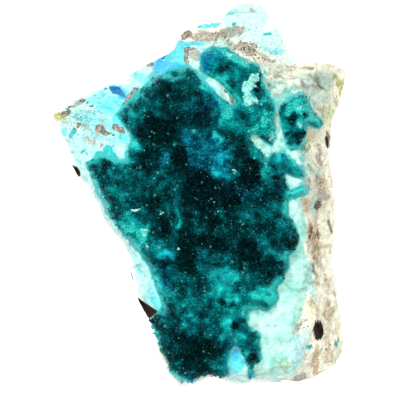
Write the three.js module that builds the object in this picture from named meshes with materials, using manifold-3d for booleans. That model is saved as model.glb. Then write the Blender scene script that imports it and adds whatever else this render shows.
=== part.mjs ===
// A hand specimen of dioptase, lying on its back with the crystal face up.
//
// It is a broken slab of pale quartz-rich rock. A thin layer of turquoise chrysocolla
// coats its upper face, and a druse of dark green dioptase crystals grew on that layer.
// A second, smaller druse lines a pocket beside the main one.
//
// Frame: millimetres, +Z up out of the crystal face, +Y along the slab towards its
// pointed shoulder, origin under the middle of the slab on the face that it rests on.
import * as THREE from "three";
import { mergeVertices } from "three/addons/utils/BufferGeometryUtils.js";
import Module from "manifold-3d";

const wasm = await Module();
wasm.setup();

// ---------------------------------------------------------------- driving dimensions
const GAP = 0.3; // air between pieces that lie on each other
const MIDDLE = [0.9, -1.9]; // the point that the slab's outline is seen from
const PLATEAU = 19.6; // height of the rock's upper face at its middle
const PLATEAU_TILT = [0.02, 0.03]; // rise of that face per mm along +X and +Y
const EDGE_SOFTNESS = 0.9; // how far an edge between two broken faces is worn round
const LAYER_THICKNESS = 1.5; // from the rock's upper face to the top of the chrysocolla
const CRUST_EDGE = 0.7; // thickness of the druse at its rim
const CRUST_BODY = 1.5; // what the druse gains away from its rim
const CRUST_RAMP = 2.2; // distance from the rim over which it gains that
const LUMP_RAMP = 1.5; // distance from the rim over which its lumps set in
const CRYSTAL_PITCH = 1.25; // distance from a crystal's tip to the corners of its foot
const CRYSTAL_HEIGHT = 0.75; // tallest crystal tip above the druse
const CRYSTAL_JITTER = 0.56; // how far crystals stray from even spacing, in mm
const SHORTEST_CRYSTAL = 0.45; // shortest tip, as a share of the tallest
const TALL = 60; // height of the blocks that pieces are cut from
const HALF_SIZE = [25, 33, 11]; // half width, half length and half height of the rock
const LOWER_INSET = 0.05; // how far the lower rim is drawn in, as a share of its radius
const ROCK_CELLS = 22; // grid cells across the rock's upper and lower face
const SIDE_ROWS = 4; // rows of cells round the rock's side
const FRACTURES = [
  { size: 10, depth: 1.7 }, // large conchoidal breaks
  { size: 5, depth: 0.8 }, // smaller chips on them
];
const CHIP_PROUD = 0.3; // the most that a chip stands proud of the broken faces
const RIM_START = 0.8; // where the upper rim begins, as a share of the way out from MIDDLE
const RIM_KEPT = 0.75; // share of each chip that the rim does without, to keep its outline
const REST_FADE = 2; // height above the resting face over which chips set in

const COLOURS = {
  rock: { color: 0xd9cdb6, roughness: 0.9 },
  chrysocolla: { color: 0x9fe6dc, roughness: 0.55 },
  dioptase: { color: 0x0b5a5c, roughness: 0.25 },
};

// The slab's outline from above, clockwise from its left corner.
const ROCK_OUTLINE = [
  [-25, 13.7], [-22.2, 15.7], [-19.2, 16.8], [-16.2, 18.6], [-14.2, 18.5], [-12, 20.3],
  [-9.1, 22.1], [-5.8, 23.8], [-4.3, 24.5], [-3.8, 26.3], [-3.1, 27.4], [-1.4, 28.7],
  [3.1, 29.4], [5.1, 31.3], [7.5, 32.7], [9.2, 33], [10.6, 32], [13.2, 27.7],
  [16.2, 23.9], [18, 22.7], [23.1, 22.1], [25, 21.2], [24.8, 18.8], [23.4, 14.4],
  [22.4, 12.3], [22.2, 7.5], [23.3, 0.7], [23.3, -5.3], [22.6, -8.7], [23.3, -16.4],
  [24.3, -21.9], [24.6, -25], [24.1, -27.4], [23.1, -28.7], [18.8, -31.6], [16.6, -32.1],
  [14.9, -31.8], [8.6, -32.1], [6.8, -32.5], [3.4, -31.6], [2.1, -31.1], [-0.9, -32.3],
  [-3.6, -33], [-4.3, -31.8], [-5.6, -30.4], [-6.8, -28.4], [-8.6, -22.4], [-10.8, -17.6],
  [-11.1, -15], [-12.8, -9.1], [-15.9, -5.6], [-18.5, -0.2], [-21, 3.2], [-22.7, 6.7],
  [-24.5, 10.9],
];

// Where the chrysocolla layer ends.
const LAYER_OUTLINE = [
  [-24.3, 13.3], [-22.9, 14.9], [-19.2, 16.2], [-16.2, 18], [-14, 18], [-11.8, 19.8],
  [-8.6, 21.5], [-5.5, 23.3], [-3.4, 25.1], [-1.7, 25.5], [3.1, 25.8], [5.5, 25.1],
  [7.4, 23.8], [9.9, 22.7], [11.3, 20.9], [12.3, 18.5], [14.5, 17.8], [17.1, 18.1],
  [19.2, 16.8], [21.7, 12.1], [20.2, 10.3], [18.3, 7.5], [19, 5], [19.2, 0.3],
  [18, -1], [18.3, -3.6], [19.2, -7], [19.5, -11.6], [19.7, -14.7], [18.6, -18.1],
  [15.7, -23.3], [16.9, -24.6], [18.1, -26.8], [17.8, -29.2], [15.7, -31.4], [12, -31.5],
  [8.9, -31.6], [6.8, -31.8], [3.4, -31.1], [2.1, -30.7], [-0.7, -31.6], [-3.2, -32.3],
  [-5.1, -30.2], [-6.5, -28], [-8.1, -22.4], [-10.4, -17.6], [-10.7, -15], [-12.4, -9.1],
  [-15.4, -5.6], [-18, -0.3], [-20.5, 3.1], [-22.2, 6.7], [-23.9, 10.8],
];

// The main druse: a broad sheet with a lobe at the upper right, and ragged bays and arms.
const CRUST_OUTLINE = [
  [-2.2, 21.9], [-0.7, 20.5], [1.2, 18.5], [3.6, 16.2], [5.6, 14.9], [6.3, 15.6],
  [4.8, 17.6], [3.1, 19.7], [1.5, 20.2], [0.3, 21.2], [0.2, 23.3], [1, 24.5],
  [2.9, 25], [5, 24.5], [6.5, 23.3], [8.4, 22.1], [9.7, 21.9], [10.3, 21],
  [10.6, 18.8], [11.5, 17.3], [12.5, 15], [12.5, 9.6], [12.1, 8.4], [11.3, 8.9],
  [9.7, 10.3], [8.6, 10.3], [8.2, 9.2], [9.4, 7.9], [11.6, 5.8], [12.7, 6.8],
  [14.4, 6.8], [15.2, 5.6], [17.3, 4.1], [18, 3.2], [17.4, 2.6], [16.1, 2.7],
  [14.5, 4.3], [14.5, 2.1], [15.2, 1], [16.4, 0.7], [18.3, 0.9], [18.5, 0.2],
  [15.4, -0.9], [14.7, -3.1], [16.4, -5.8], [16.8, -7.5], [16.1, -9.4], [15, -10.6],
  [15, -12.3], [14.2, -14.2], [12.8, -16.2], [13.5, -17.8], [12.1, -19.2], [11.3, -20],
  [9.4, -19.3], [8, -19.8], [8, -22.2], [9.6, -23.1], [10.3, -24.6], [10.3, -26.8],
  [9.1, -29.1], [8.9, -31.4], [8.2, -31], [7.7, -29.2], [5.6, -26.3], [5, -29.6],
  [4.6, -31], [2.2, -30.6], [0, -31.2], [-3.2, -31.8], [-5, -30], [-6.4, -27.7],
  [-8, -21.7], [-6.2, -20.2], [-6.3, -18.1], [-7.5, -15.7], [-8.6, -12.5], [-10.6, -9.7],
  [-12.7, -7], [-15.2, -4.1], [-18.3, 2.4], [-19.3, 5.3], [-17.3, 6.3], [-15.6, 6],
  [-13.7, 5.3], [-12, 5.3], [-12.3, 7.4], [-11.3, 9.4], [-12.7, 11.6], [-14, 13.7],
  [-12.3, 15.4], [-9.9, 17.8], [-7.9, 20.2], [-5, 20.7],
];

// The druse in the side pocket.
const POCKET_OUTLINE = [
  [15.2, 16.2], [16.6, 16.9], [17.6, 17.1], [18.5, 16.4], [18.6, 14.9], [21, 12],
  [20.2, 11.3], [18.5, 12.1], [17.8, 11.6], [18, 10.4], [17.6, 9.2], [16.8, 7.9],
  [15.7, 7.5], [14.9, 8.7], [14, 12.3], [13.5, 14.2],
];

// Broken faces that cut the rock's upper face down at its margins. Each starts at a
// point, falls in the direction `toward` (degrees from +X), and drops `slope` mm per mm.
// Two faces in one row meet in a re-entrant corner, where the higher of them is kept.
const UPPER_BREAKS = [
  [{ x: 18.6, y: -8, toward: 2, slope: 1.35 }],
  [{ x: 16.5, y: -26, toward: -28, slope: 0.75 }],
  [{ x: 2, y: -30.5, toward: -90, slope: 1.5 }],
  [
    { x: -14.2, y: -4.6, toward: 210, slope: 1.45 },
    { x: -10.4, y: -12.6, toward: 197, slope: 1.6 },
  ],
  [{ x: -12.5, y: 11, toward: 158, slope: 0.42 }],
  [{ x: -5, y: 20.8, toward: 118, slope: 0.85 }],
  [{ x: 5, y: 25, toward: 84, slope: 0.62 }],
  [{ x: 13, y: 21, toward: 52, slope: 0.5 }],
  [{ x: 20.5, y: 12, toward: 12, slope: 1 }],
];

// Broken faces under the slab. Each starts `reach` mm from the origin in the direction
// `toward`, and rises outwards by `slope` mm per mm. The face they leave is the rest.
const UNDERCUTS = [
  { reach: 17.5, toward: 0, slope: 1.05 },
  { reach: 23, toward: 42, slope: 0.85 },
  { reach: 24.5, toward: 78, slope: 0.8 },
  { reach: 18, toward: 118, slope: 0.95 },
  { reach: 19.5, toward: 150, slope: 0.9 },
  { reach: 11, toward: 208, slope: 1.2 },
  { reach: 22, toward: 250, slope: 0.75 },
  { reach: 27, toward: 290, slope: 0.9 },
  { reach: 25.5, toward: 325, slope: 0.95 },
];

// Swells (+) and hollows (-) of the rock's upper face: middle, radius and height.
const SWELLS = [
  { x: 7, y: 20, r: 5, h: -2.1 }, // floor under the upper lobe
  { x: 11.5, y: 13.5, r: 3.5, h: -1 },
  { x: 3, y: 18, r: 2.2, h: 1.7 }, // rib between the lobe and the main druse
  { x: 16.8, y: 11.8, r: 3.6, h: -1.7 }, // side pocket
  { x: 12.5, y: -25.5, r: 5, h: 0.8 },
  { x: -17, y: 12.5, r: 4, h: 0.7 },
  { x: 5, y: 28.5, r: 2.4, h: 1 },
  { x: 21, y: -25, r: 4, h: 0.9 },
];

// Deep pits and slits in the stone: middle, half width, half length and the turn of the
// long way from +Y, in degrees. Each is as deep as it is wide.
const PITS = [
  { x: 20.2, y: -23.3, wide: 0.85, long: 1.5, turn: 5 },
  { x: 21.6, y: 9.2, wide: 0.5, long: 1.7, turn: 8 },
  { x: -21.3, y: 3.9, wide: 0.55, long: 1.4, turn: 38 },
  { x: -8.6, y: -19.2, wide: 0.9, long: 2.4, turn: 48 },
];

// Lumps (+) and dips (-) of the druse itself.
const CRUST_LUMPS = [
  { x: -6, y: 15.2, r: 5, h: 1.2 },
  { x: -0.9, y: 11.8, r: 4, h: 0.9 },
  { x: 2.1, y: 5, r: 4.2, h: 1.1 },
  { x: 3.1, y: 9.2, r: 1.8, h: 0.8 },
  { x: 8.6, y: 3.2, r: 4, h: 0.9 },
  { x: 0, y: 0.7, r: 3.2, h: -0.9 },
  { x: -15.2, y: 0.7, r: 4.6, h: 0.8 },
  { x: -8.6, y: 1.2, r: 3.6, h: 0.7 },
  { x: -11.6, y: 5, r: 2.4, h: -0.7 },
  { x: -4.8, y: -3.6, r: 2, h: 0.7 },
  { x: -9.6, y: -5.3, r: 3.2, h: 0.9 },
  { x: -6.6, y: -8.4, r: 2.4, h: -0.8 },
  { x: -6, y: -11.6, r: 2, h: 0.8 },
  { x: 2.6, y: -5.3, r: 3.8, h: 0.6 },
  { x: 7.7, y: -3.4, r: 3, h: -0.7 },
  { x: 13.6, y: -7, r: 3.2, h: 1.1 },
  { x: 9.4, y: -8.4, r: 2.6, h: -0.6 },
  { x: 12, y: -12, r: 3.6, h: 1 },
  { x: 4.3, y: -15.4, r: 3.6, h: 0.9 },
  { x: -1.7, y: -13.4, r: 3.4, h: -0.7 },
  { x: 9, y: -17.4, r: 2.6, h: 0.7 },
  { x: -3.6, y: -19.6, r: 3.8, h: 0.8 },
  { x: 4.6, y: -20, r: 1.8, h: -1 },
  { x: 6, y: -23.5, r: 2.3, h: 0.8 },
  { x: -3.8, y: -26, r: 3.8, h: 1.2 },
  { x: 0.9, y: -26.4, r: 2.4, h: -0.8 },
  { x: 9, y: -25.8, r: 2, h: 0.8 },
  { x: 8, y: 18.8, r: 1.5, h: 1 },
  { x: 8, y: 16.3, r: 1.4, h: 0.9 },
  { x: 10.6, y: 14.4, r: 2.4, h: 0.6 },
];

const POCKET_LUMPS = [
  { x: 15.6, y: 12, r: 1.6, h: -0.6 },
  { x: 17.2, y: 14.6, r: 1.5, h: 0.5 },
];

// ---------------------------------------------------------------- numbers and fields
const clamp01 = (t) => Math.min(1, Math.max(0, t));
const smooth = (t) => clamp01(t) ** 2 * (3 - 2 * clamp01(t));
const fraction = (v) => v - Math.floor(v);

// A repeatable random number from 0 to 1 for a lattice cell and a channel.
function random(i, j, k, channel) {
  return fraction(
    Math.sin(i * 127.1 + j * 311.7 + k * 74.7 + channel * 53.3) * 43758.5453,
  );
}

// The smaller of a and b, rounded where they cross over a width w.
function softMin(a, b, w) {
  const t = clamp01(0.5 + (0.5 * (b - a)) / w);
  return b + (a - b) * t - w * t * (1 - t);
}

function direction(degrees) {
  const angle = THREE.MathUtils.degToRad(degrees);
  return [Math.cos(angle), Math.sin(angle)];
}

// Sum of round swells: each is a bell of height h and radius r.
function swellHeight(list, x, y) {
  let sum = 0;
  for (const { x: cx, y: cy, r, h } of list)
    sum += h * Math.exp(-((x - cx) ** 2 + (y - cy) ** 2) / (r * r));
  return sum;
}

// Broken stone: space is split into jittered cells, and within a cell the surface is
// tipped along that cell's own random direction, so flat chips meet at small steps.
function fracture(x, y, z, { size, depth }) {
  const cell = [x, y, z].map((v) => Math.floor(v / size));
  let nearest = Infinity;
  let tip = 0;
  for (let n = 0; n < 27; n++) {
    const [i, j, k] = [
      cell[0] + (n % 3) - 1,
      cell[1] + (Math.floor(n / 3) % 3) - 1,
      cell[2] + Math.floor(n / 9) - 1,
    ];
    const away = [
      x / size - i - random(i, j, k, 1),
      y / size - j - random(i, j, k, 2),
      z / size - k - random(i, j, k, 3),
    ];
    const distance = Math.hypot(...away);
    if (distance >= nearest) continue;
    nearest = distance;
    tip =
      away[0] * (random(i, j, k, 4) * 2 - 1) +
      away[1] * (random(i, j, k, 5) * 2 - 1) +
      away[2] * (random(i, j, k, 6) * 2 - 1) +
      random(i, j, k, 7) * 0.6 -
      0.6;
  }
  return depth * tip;
}

// Distance from (x, y) to the nearest edge of a closed outline.
function edgeDistance(outline, x, y) {
  let least = Infinity;
  outline.forEach(([x1, y1], n) => {
    const [x2, y2] = outline[(n + 1) % outline.length];
    const [ex, ey] = [x2 - x1, y2 - y1];
    const t = clamp01(((x - x1) * ex + (y - y1) * ey) / (ex * ex + ey * ey));
    least = Math.min(least, Math.hypot(x - x1 - ex * t, y - y1 - ey * t));
  });
  return least;
}

// Distance from MIDDLE to the slab's outline in a direction given in radians.
function outlineRadius(angle) {
  const [ux, uy] = [Math.cos(angle), Math.sin(angle)];
  let radius = 0;
  ROCK_OUTLINE.forEach(([ax, ay], n) => {
    const [bx, by] = ROCK_OUTLINE[(n + 1) % ROCK_OUTLINE.length];
    const [px, py] = [ax - MIDDLE[0], ay - MIDDLE[1]];
    const [ex, ey] = [bx - ax, by - ay];
    const across = ux * ey - uy * ex;
    const along = (px * uy - py * ux) / across;
    const reach = (px * ey - py * ex) / across;
    if (along >= 0 && along <= 1 && reach > radius) radius = reach;
  });
  return radius;
}

// Height of the rock's upper face: a plateau cut by the broken faces, with its swells.
function rockTop(x, y) {
  let z = PLATEAU + PLATEAU_TILT[0] * x + PLATEAU_TILT[1] * y;
  for (const faces of UPPER_BREAKS) {
    const heights = faces.map((face) => {
      const [dx, dy] = direction(face.toward);
      return PLATEAU - face.slope * ((x - face.x) * dx + (y - face.y) * dy);
    });
    z = softMin(z, Math.max(...heights), EDGE_SOFTNESS);
  }
  return z + swellHeight(SWELLS, x, y);
}

// Height of the rock's lower face: flat at 0, and rising over the undercuts.
function rockBottom(x, y) {
  let z = 0;
  for (const { reach, toward, slope } of UNDERCUTS) {
    const [dx, dy] = direction(toward);
    z = Math.max(z, slope * (x * dx + y * dy - reach));
  }
  return z;
}

const layerTop = (x, y) => rockTop(x, y) + LAYER_THICKNESS;

// Height of a druse between its crystals: thin at its rim, thicker inside, and lumpy.
function druseTop(outline, lumps, x, y) {
  const body = CRUST_BODY * smooth(edgeDistance(outline, x, y) / CRUST_RAMP);
  const lump = swellHeight(lumps, x, y) * smooth(edgeDistance(outline, x, y) / LUMP_RAMP);
  return layerTop(x, y) + GAP + CRUST_EDGE + body + Math.max(lump, -body);
}

// ---------------------------------------------------------------- meshes and solids
function geometryOf(positions, indices) {
  const geometry = new THREE.BufferGeometry();
  geometry.setAttribute(
    "position",
    new THREE.Float32BufferAttribute(positions.flat(), 3),
  );
  geometry.setIndex(indices);
  return geometry;
}

function solidOf(geometry) {
  return new wasm.Manifold(
    new wasm.Mesh({
      numProp: 3,
      vertProperties: new Float32Array(geometry.getAttribute("position").array),
      triVerts: new Uint32Array(geometry.getIndex().array),
    }),
  );
}

function meshOf(name, solid, look) {
  const { numProp, vertProperties, triVerts } = solid.getMesh();
  const positions = [];
  for (let n = 0; n < vertProperties.length; n += numProp)
    positions.push([...vertProperties.slice(n, n + 3)]);
  const geometry = geometryOf(positions, [...triVerts]);
  const material = new THREE.MeshStandardMaterial({
    ...look,
    metalness: 0,
    flatShading: true,
  });
  const mesh = new THREE.Mesh(geometry, material);
  mesh.name = name;
  return mesh;
}

// A closed skin over a square grid of (cells + 1) x (cells + 1) points above and as many
// below, joined round the edge by `rows` rows. at(i, j, level) gives each point, where
// level is 1 on the upper grid, 0 on the lower one and between them on the side.
function closedGrid(cells, rows, at) {
  const positions = [];
  const indices = [];
  const lookup = new Map();
  const point = (i, j, row) => {
    const key = `${i},${j},${row}`;
    if (!lookup.has(key)) {
      lookup.set(key, positions.length);
      positions.push(at(i, j, row / rows));
    }
    return lookup.get(key);
  };
  const quad = (a, b, c, d) => indices.push(a, b, c, a, c, d);
  for (let i = 0; i < cells; i++)
    for (let j = 0; j < cells; j++) {
      const [a, b, c, d] = [[i, j], [i + 1, j], [i + 1, j + 1], [i, j + 1]];
      quad(...[a, b, c, d].map(([u, v]) => point(u, v, rows)));
      quad(...[a, d, c, b].map(([u, v]) => point(u, v, 0)));
    }
  const rim = [];
  for (let n = 0; n < cells; n++) rim.push([n, 0]);
  for (let n = 0; n < cells; n++) rim.push([cells, n]);
  for (let n = cells; n > 0; n--) rim.push([n, cells]);
  for (let n = cells; n > 0; n--) rim.push([0, n]);
  rim.forEach(([i1, j1], n) => {
    const [i2, j2] = rim[(n + 1) % rim.length];
    for (let row = 0; row < rows; row++) {
      const [a, b] = [point(i1, j1, row), point(i2, j2, row)];
      quad(a, b, point(i2, j2, row + 1), point(i1, j1, row + 1));
    }
  });
  return geometryOf(positions, indices);
}

// Grid point (i, j) laid out inside the slab's outline: rings of the square grid become
// copies of the outline, scaled by `ring` from 0 at MIDDLE to 1 at the rim.
function planPoint(i, j) {
  const a = (2 * i) / ROCK_CELLS - 1;
  const b = (2 * j) / ROCK_CELLS - 1;
  const ring = Math.max(Math.abs(a), Math.abs(b));
  if (ring === 0) return { x: MIDDLE[0], y: MIDDLE[1], ring };
  const eighth = Math.PI / 4;
  let angle;
  if (Math.abs(a) >= Math.abs(b)) angle = eighth * (b / a) + (a < 0 ? Math.PI : 0);
  else angle = 2 * eighth - eighth * (a / b) + (b < 0 ? Math.PI : 0);
  const radius = outlineRadius(angle) * ring;
  return {
    x: MIDDLE[0] + radius * Math.cos(angle),
    y: MIDDLE[1] + radius * Math.sin(angle),
    ring,
  };
}

// A point of the rock's surface, chipped by the fractures. The upper and lower face are
// chipped straight up or down, and the side and the rim along a rough normal. The rim
// keeps its outline, and the face that the slab rests on stays flat.
function rockPoint(i, j, level) {
  const plan = planPoint(i, j);
  const inset = 1 - LOWER_INSET * (1 - level) ** 2;
  const x = MIDDLE[0] + (plan.x - MIDDLE[0]) * inset;
  const y = MIDDLE[1] + (plan.y - MIDDLE[1]) * inset;
  const low = rockBottom(x, y);
  const z = low + (rockTop(plan.x, plan.y) - low) * level;
  const outward = smooth((plan.ring - RIM_START) / (1 - RIM_START));
  const normal = new THREE.Vector3(
    ((x - MIDDLE[0]) / HALF_SIZE[0] ** 2) * outward,
    ((y - MIDDLE[1]) / HALF_SIZE[1] ** 2) * outward,
    (z - PLATEAU / 2) / HALF_SIZE[2] ** 2,
  ).normalize();
  const rest = level === 0 && low === 0 ? 0 : smooth(z / REST_FADE);
  let chip = 0;
  for (const scale of FRACTURES) chip += fracture(x, y, z, scale);
  normal.multiplyScalar(Math.min(chip, CHIP_PROUD) * (1 - RIM_KEPT * level * outward) * rest);
  return [x + normal.x, y + normal.y, Math.max(0, z + normal.z)];
}

const rockUpper = (i, j) => rockPoint(i, j, 1);

// The solid between two surfaces given on the rock's upper grid.
function slabBetween(lower, upper) {
  const at = (i, j, level) => (level ? upper(i, j) : lower(i, j));
  return solidOf(closedGrid(ROCK_CELLS, 1, at));
}

// A tall prism over an outline, to cut a slab to shape.
function prismOf(outline) {
  const shape = new THREE.Shape(outline.map(([x, y]) => new THREE.Vector2(x, y)));
  const geometry = new THREE.ExtrudeGeometry(shape, { depth: TALL, bevelEnabled: false });
  geometry.deleteAttribute("normal");
  geometry.deleteAttribute("uv");
  return solidOf(mergeVertices(geometry, 1e-4));
}

// A block whose top is a field of six-sided pyramids. Points lie on a triangular
// lattice, and one in three is a crystal's tip: every triangle joins just one tip, so
// each tip has six flat faces round it.
function crystalBlock(outline, lumps) {
  const box = new THREE.Box2();
  box.setFromPoints(outline.map(([x, y]) => new THREE.Vector2(x, y)));
  const rowPitch = (CRYSTAL_PITCH * Math.sqrt(3)) / 2;
  const columns = Math.ceil((box.max.x - box.min.x) / CRYSTAL_PITCH) + 4;
  const rows = Math.ceil((box.max.y - box.min.y) / rowPitch) + 4;
  const positions = [];
  const stray = (i, j, channel) => (random(i, j, 0, channel) - 0.5) * CRYSTAL_JITTER;
  for (let j = 0; j <= rows; j++)
    for (let i = 0; i <= columns; i++) {
      const isTip = (i + 2 * Math.floor(j / 2) + 2 * j) % 3 === 0;
      const x = box.min.x + (i - 2 + (j % 2) / 2) * CRYSTAL_PITCH + stray(i, j, 8);
      const y = box.min.y + (j - 2) * rowPitch + stray(i, j, 9);
      const share = SHORTEST_CRYSTAL + (1 - SHORTEST_CRYSTAL) * random(i, j, 0, 10);
      const rise = isTip ? CRYSTAL_HEIGHT * share : 0;
      positions.push([x, y, druseTop(outline, lumps, x, y) + rise]);
    }
  const width = columns + 1;
  const upper = positions.length;
  for (const [x, y] of positions.slice()) positions.push([x, y, 0]);
  const indices = [];
  const face = (a, b, c) => {
    indices.push(a, b, c);
    indices.push(upper + a, upper + c, upper + b);
  };
  for (let j = 0; j < rows; j++)
    for (let i = 0; i < columns; i++) {
      const a = j * width + i;
      const [b, c, d] = [a + 1, a + width, a + width + 1];
      if (j % 2) {
        face(a, b, d);
        face(a, d, c);
      } else {
        face(a, b, c);
        face(b, d, c);
      }
    }
  const wall = (a, b) => indices.push(a, upper + a, b, b, upper + a, upper + b);
  for (let i = 0; i < columns; i++) {
    wall(i, i + 1);
    wall(rows * width + i + 1, rows * width + i);
  }
  for (let j = 0; j < rows; j++) {
    wall((j + 1) * width, j * width);
    wall(j * width + columns, (j + 1) * width + columns);
  }
  return solidOf(geometryOf(positions, indices));
}

// The pits as one solid of ellipsoids sunk in the rock's upper face.
function pitsSolid() {
  const holes = PITS.map(({ x, y, wide, long, turn }) => {
    const geometry = new THREE.SphereGeometry(1, 10, 6);
    geometry.deleteAttribute("normal");
    geometry.deleteAttribute("uv");
    geometry.scale(wide, long, wide * 2);
    geometry.rotateZ(THREE.MathUtils.degToRad(turn));
    geometry.translate(x, y, layerTop(x, y) - LAYER_THICKNESS / 2);
    return solidOf(mergeVertices(geometry, 1e-4));
  });
  return holes.reduce((all, hole) => all.add(hole));
}

// ---------------------------------------------------------------- the pieces
const pits = pitsSolid();

const matrixRock = solidOf(closedGrid(ROCK_CELLS, SIDE_ROWS, rockPoint)).subtract(pits);

const layerUpper = (i, j) => {
  const [x, y] = rockUpper(i, j);
  return [x, y, layerTop(x, y)];
};

const raised = (surface, height) => (i, j) => {
  const [x, y, z] = surface(i, j);
  return [x, y, z + height];
};

const chrysocollaLayer = slabBetween(raised(rockUpper, GAP), layerUpper)
  .intersect(prismOf(LAYER_OUTLINE))
  .subtract(pits);

// Everything above the chrysocolla, which a druse is cut from.
const aboveLayer = slabBetween(raised(layerUpper, GAP), raised(layerUpper, TALL / 2));

const druseOf = (outline, lumps) =>
  crystalBlock(outline, lumps).intersect(aboveLayer).intersect(prismOf(outline));

const specimen = new THREE.Group();
specimen.add(
  meshOf("matrix_rock", matrixRock, COLOURS.rock),
  meshOf("chrysocolla_layer", chrysocollaLayer, COLOURS.chrysocolla),
  meshOf("dioptase_druse", druseOf(CRUST_OUTLINE, CRUST_LUMPS), COLOURS.dioptase),
  meshOf("dioptase_pocket_druse", druseOf(POCKET_OUTLINE, POCKET_LUMPS), COLOURS.dioptase),
);

export default specimen;
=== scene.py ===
"""A hand specimen of dioptase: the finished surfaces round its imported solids.

A broken slab of pale rock carries a coat of turquoise chrysocolla, and two druses of
dark green dioptase crystals grow on the coat. Each surface is worked out as whole numpy
arrays in millimetres, and goes into its mesh in metres, in the frame of the solids.
The file has the layout of an add-on, and is run as a script.
"""

import math

import bpy
import mathutils
import numpy as np
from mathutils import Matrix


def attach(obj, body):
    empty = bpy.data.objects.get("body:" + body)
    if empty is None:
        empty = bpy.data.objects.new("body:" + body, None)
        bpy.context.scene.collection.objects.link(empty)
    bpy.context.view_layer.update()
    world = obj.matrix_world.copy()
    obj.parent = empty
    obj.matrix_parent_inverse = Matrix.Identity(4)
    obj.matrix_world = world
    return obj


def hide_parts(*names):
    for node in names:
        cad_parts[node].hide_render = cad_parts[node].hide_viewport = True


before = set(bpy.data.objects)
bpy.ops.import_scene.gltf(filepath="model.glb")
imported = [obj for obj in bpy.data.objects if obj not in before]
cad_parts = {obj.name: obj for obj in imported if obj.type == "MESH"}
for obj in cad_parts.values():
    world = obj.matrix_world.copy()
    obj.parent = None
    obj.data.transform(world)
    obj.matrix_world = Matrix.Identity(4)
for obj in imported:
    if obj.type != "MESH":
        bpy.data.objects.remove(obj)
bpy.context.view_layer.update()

bl_info = {
    "name": "Dioptase specimen",
    "version": (1, 0, 0),
    "blender": (4, 5, 0),
    "location": "3D View > Sidebar > Specimen",
    "description": "Builds a dioptase druse on chrysocolla and broken rock",
    "category": "Add Mesh",
}

MM = 0.001  # metres in a millimetre
BODY = "root"

# ------------------------------------------------------------ the slab, as in its solids
# All of these are millimetres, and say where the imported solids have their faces.
MIDDLE = (0.9, -1.9)  # the point that the outlines are seen from
PLATEAU = 19.6  # height of the rock's upper face at its middle
PLATEAU_TILT = (0.02, 0.03)  # its rise per mm in x and y
EDGE_SOFTNESS = 0.9  # how worn the edges between its broken faces are
COAT_THICKNESS = 1.5  # from the rock's upper face to the top of the chrysocolla
CRUST_EDGE = 1.0  # thickness of a druse at its rim, with the solids' gap under it
CRUST_BODY = 1.5  # what it gains away from its rim
CRUST_RAMP = 2.2  # distance from the rim over which it gains that
LUMP_RAMP = 1.5  # distance from the rim over which its lumps set in
HALF_SIZE = (25.0, 33.0, 11.0)  # of the slab
LOWER_INSET = 0.05  # how far its foot is drawn in, as a share
FRACTURES = ((10.0, 1.7), (5.0, 0.8))  # size and depth of the rock's breaks
FINE_FRACTURES = ((2.3, 0.42), (1.05, 0.2))  # the same below the solids' size
CHIP_PROUD = 0.3  # how far the large breaks may stand out
RIM_START = 0.8  # how far out, as a share, the rim begins
RIM_KEPT = 0.75  # how much weaker the breaks are at the upper rim
REST_FADE = 2.0  # height over which the breaks set in above the flat underside

ROCK_OUTLINE = (
    (-25, 13.7), (-22.2, 15.7), (-19.2, 16.8), (-16.2, 18.6), (-14.2, 18.5), (-12, 20.3),
    (-9.1, 22.1), (-5.8, 23.8), (-4.3, 24.5), (-3.8, 26.3), (-3.1, 27.4), (-1.4, 28.7), (3.1, 29.4),
    (5.1, 31.3), (7.5, 32.7), (9.2, 33), (10.6, 32), (13.2, 27.7), (16.2, 23.9), (18, 22.7),
    (23.1, 22.1), (25, 21.2), (24.8, 18.8), (23.4, 14.4), (22.4, 12.3), (22.2, 7.5), (23.3, 0.7),
    (23.3, -5.3), (22.6, -8.7), (23.3, -16.4), (24.3, -21.9), (24.6, -25), (24.1, -27.4),
    (23.1, -28.7), (18.8, -31.6), (16.6, -32.1), (14.9, -31.8), (8.6, -32.1), (6.8, -32.5),
    (3.4, -31.6), (2.1, -31.1), (-0.9, -32.3), (-3.6, -33), (-4.3, -31.8), (-5.6, -30.4),
    (-6.8, -28.4), (-8.6, -22.4), (-10.8, -17.6), (-11.1, -15), (-12.8, -9.1), (-15.9, -5.6),
    (-18.5, -0.2), (-21, 3.2), (-22.7, 6.7), (-24.5, 10.9),
)

# Where the chrysocolla coat ends.
COAT_OUTLINE = (
    (-24.3, 13.3), (-22.9, 14.9), (-19.2, 16.2), (-16.2, 18), (-14, 18), (-11.8, 19.8),
    (-8.6, 21.5), (-5.5, 23.3), (-3.4, 25.1), (-1.7, 25.5), (3.1, 25.8), (5.5, 25.1), (7.4, 23.8),
    (9.9, 22.7), (11.3, 20.9), (12.3, 18.5), (14.5, 17.8), (17.1, 18.1), (19.2, 16.8), (21.7, 12.1),
    (20.2, 10.3), (18.3, 7.5), (19, 5), (19.2, 0.3), (18, -1), (18.3, -3.6), (19.2, -7),
    (19.5, -11.6), (19.7, -14.7), (18.6, -18.1), (17.2, -22.6), (17.6, -24.4), (18.1, -26.8),
    (17.8, -29.2), (15.7, -31.4), (12, -31.6), (8.9, -31.8), (6.8, -32.1), (4.6, -31.6),
    (2.7, -30.9), (-0.7, -31.6), (-3.2, -32.3), (-5.1, -30.2), (-6.5, -28), (-8.1, -22.4),
    (-10.4, -17.6), (-10.7, -15), (-12.4, -9.1), (-15.4, -5.6), (-18, -0.3), (-20.5, 3.1),
    (-22.2, 6.7), (-23.9, 10.8),
)

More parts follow.
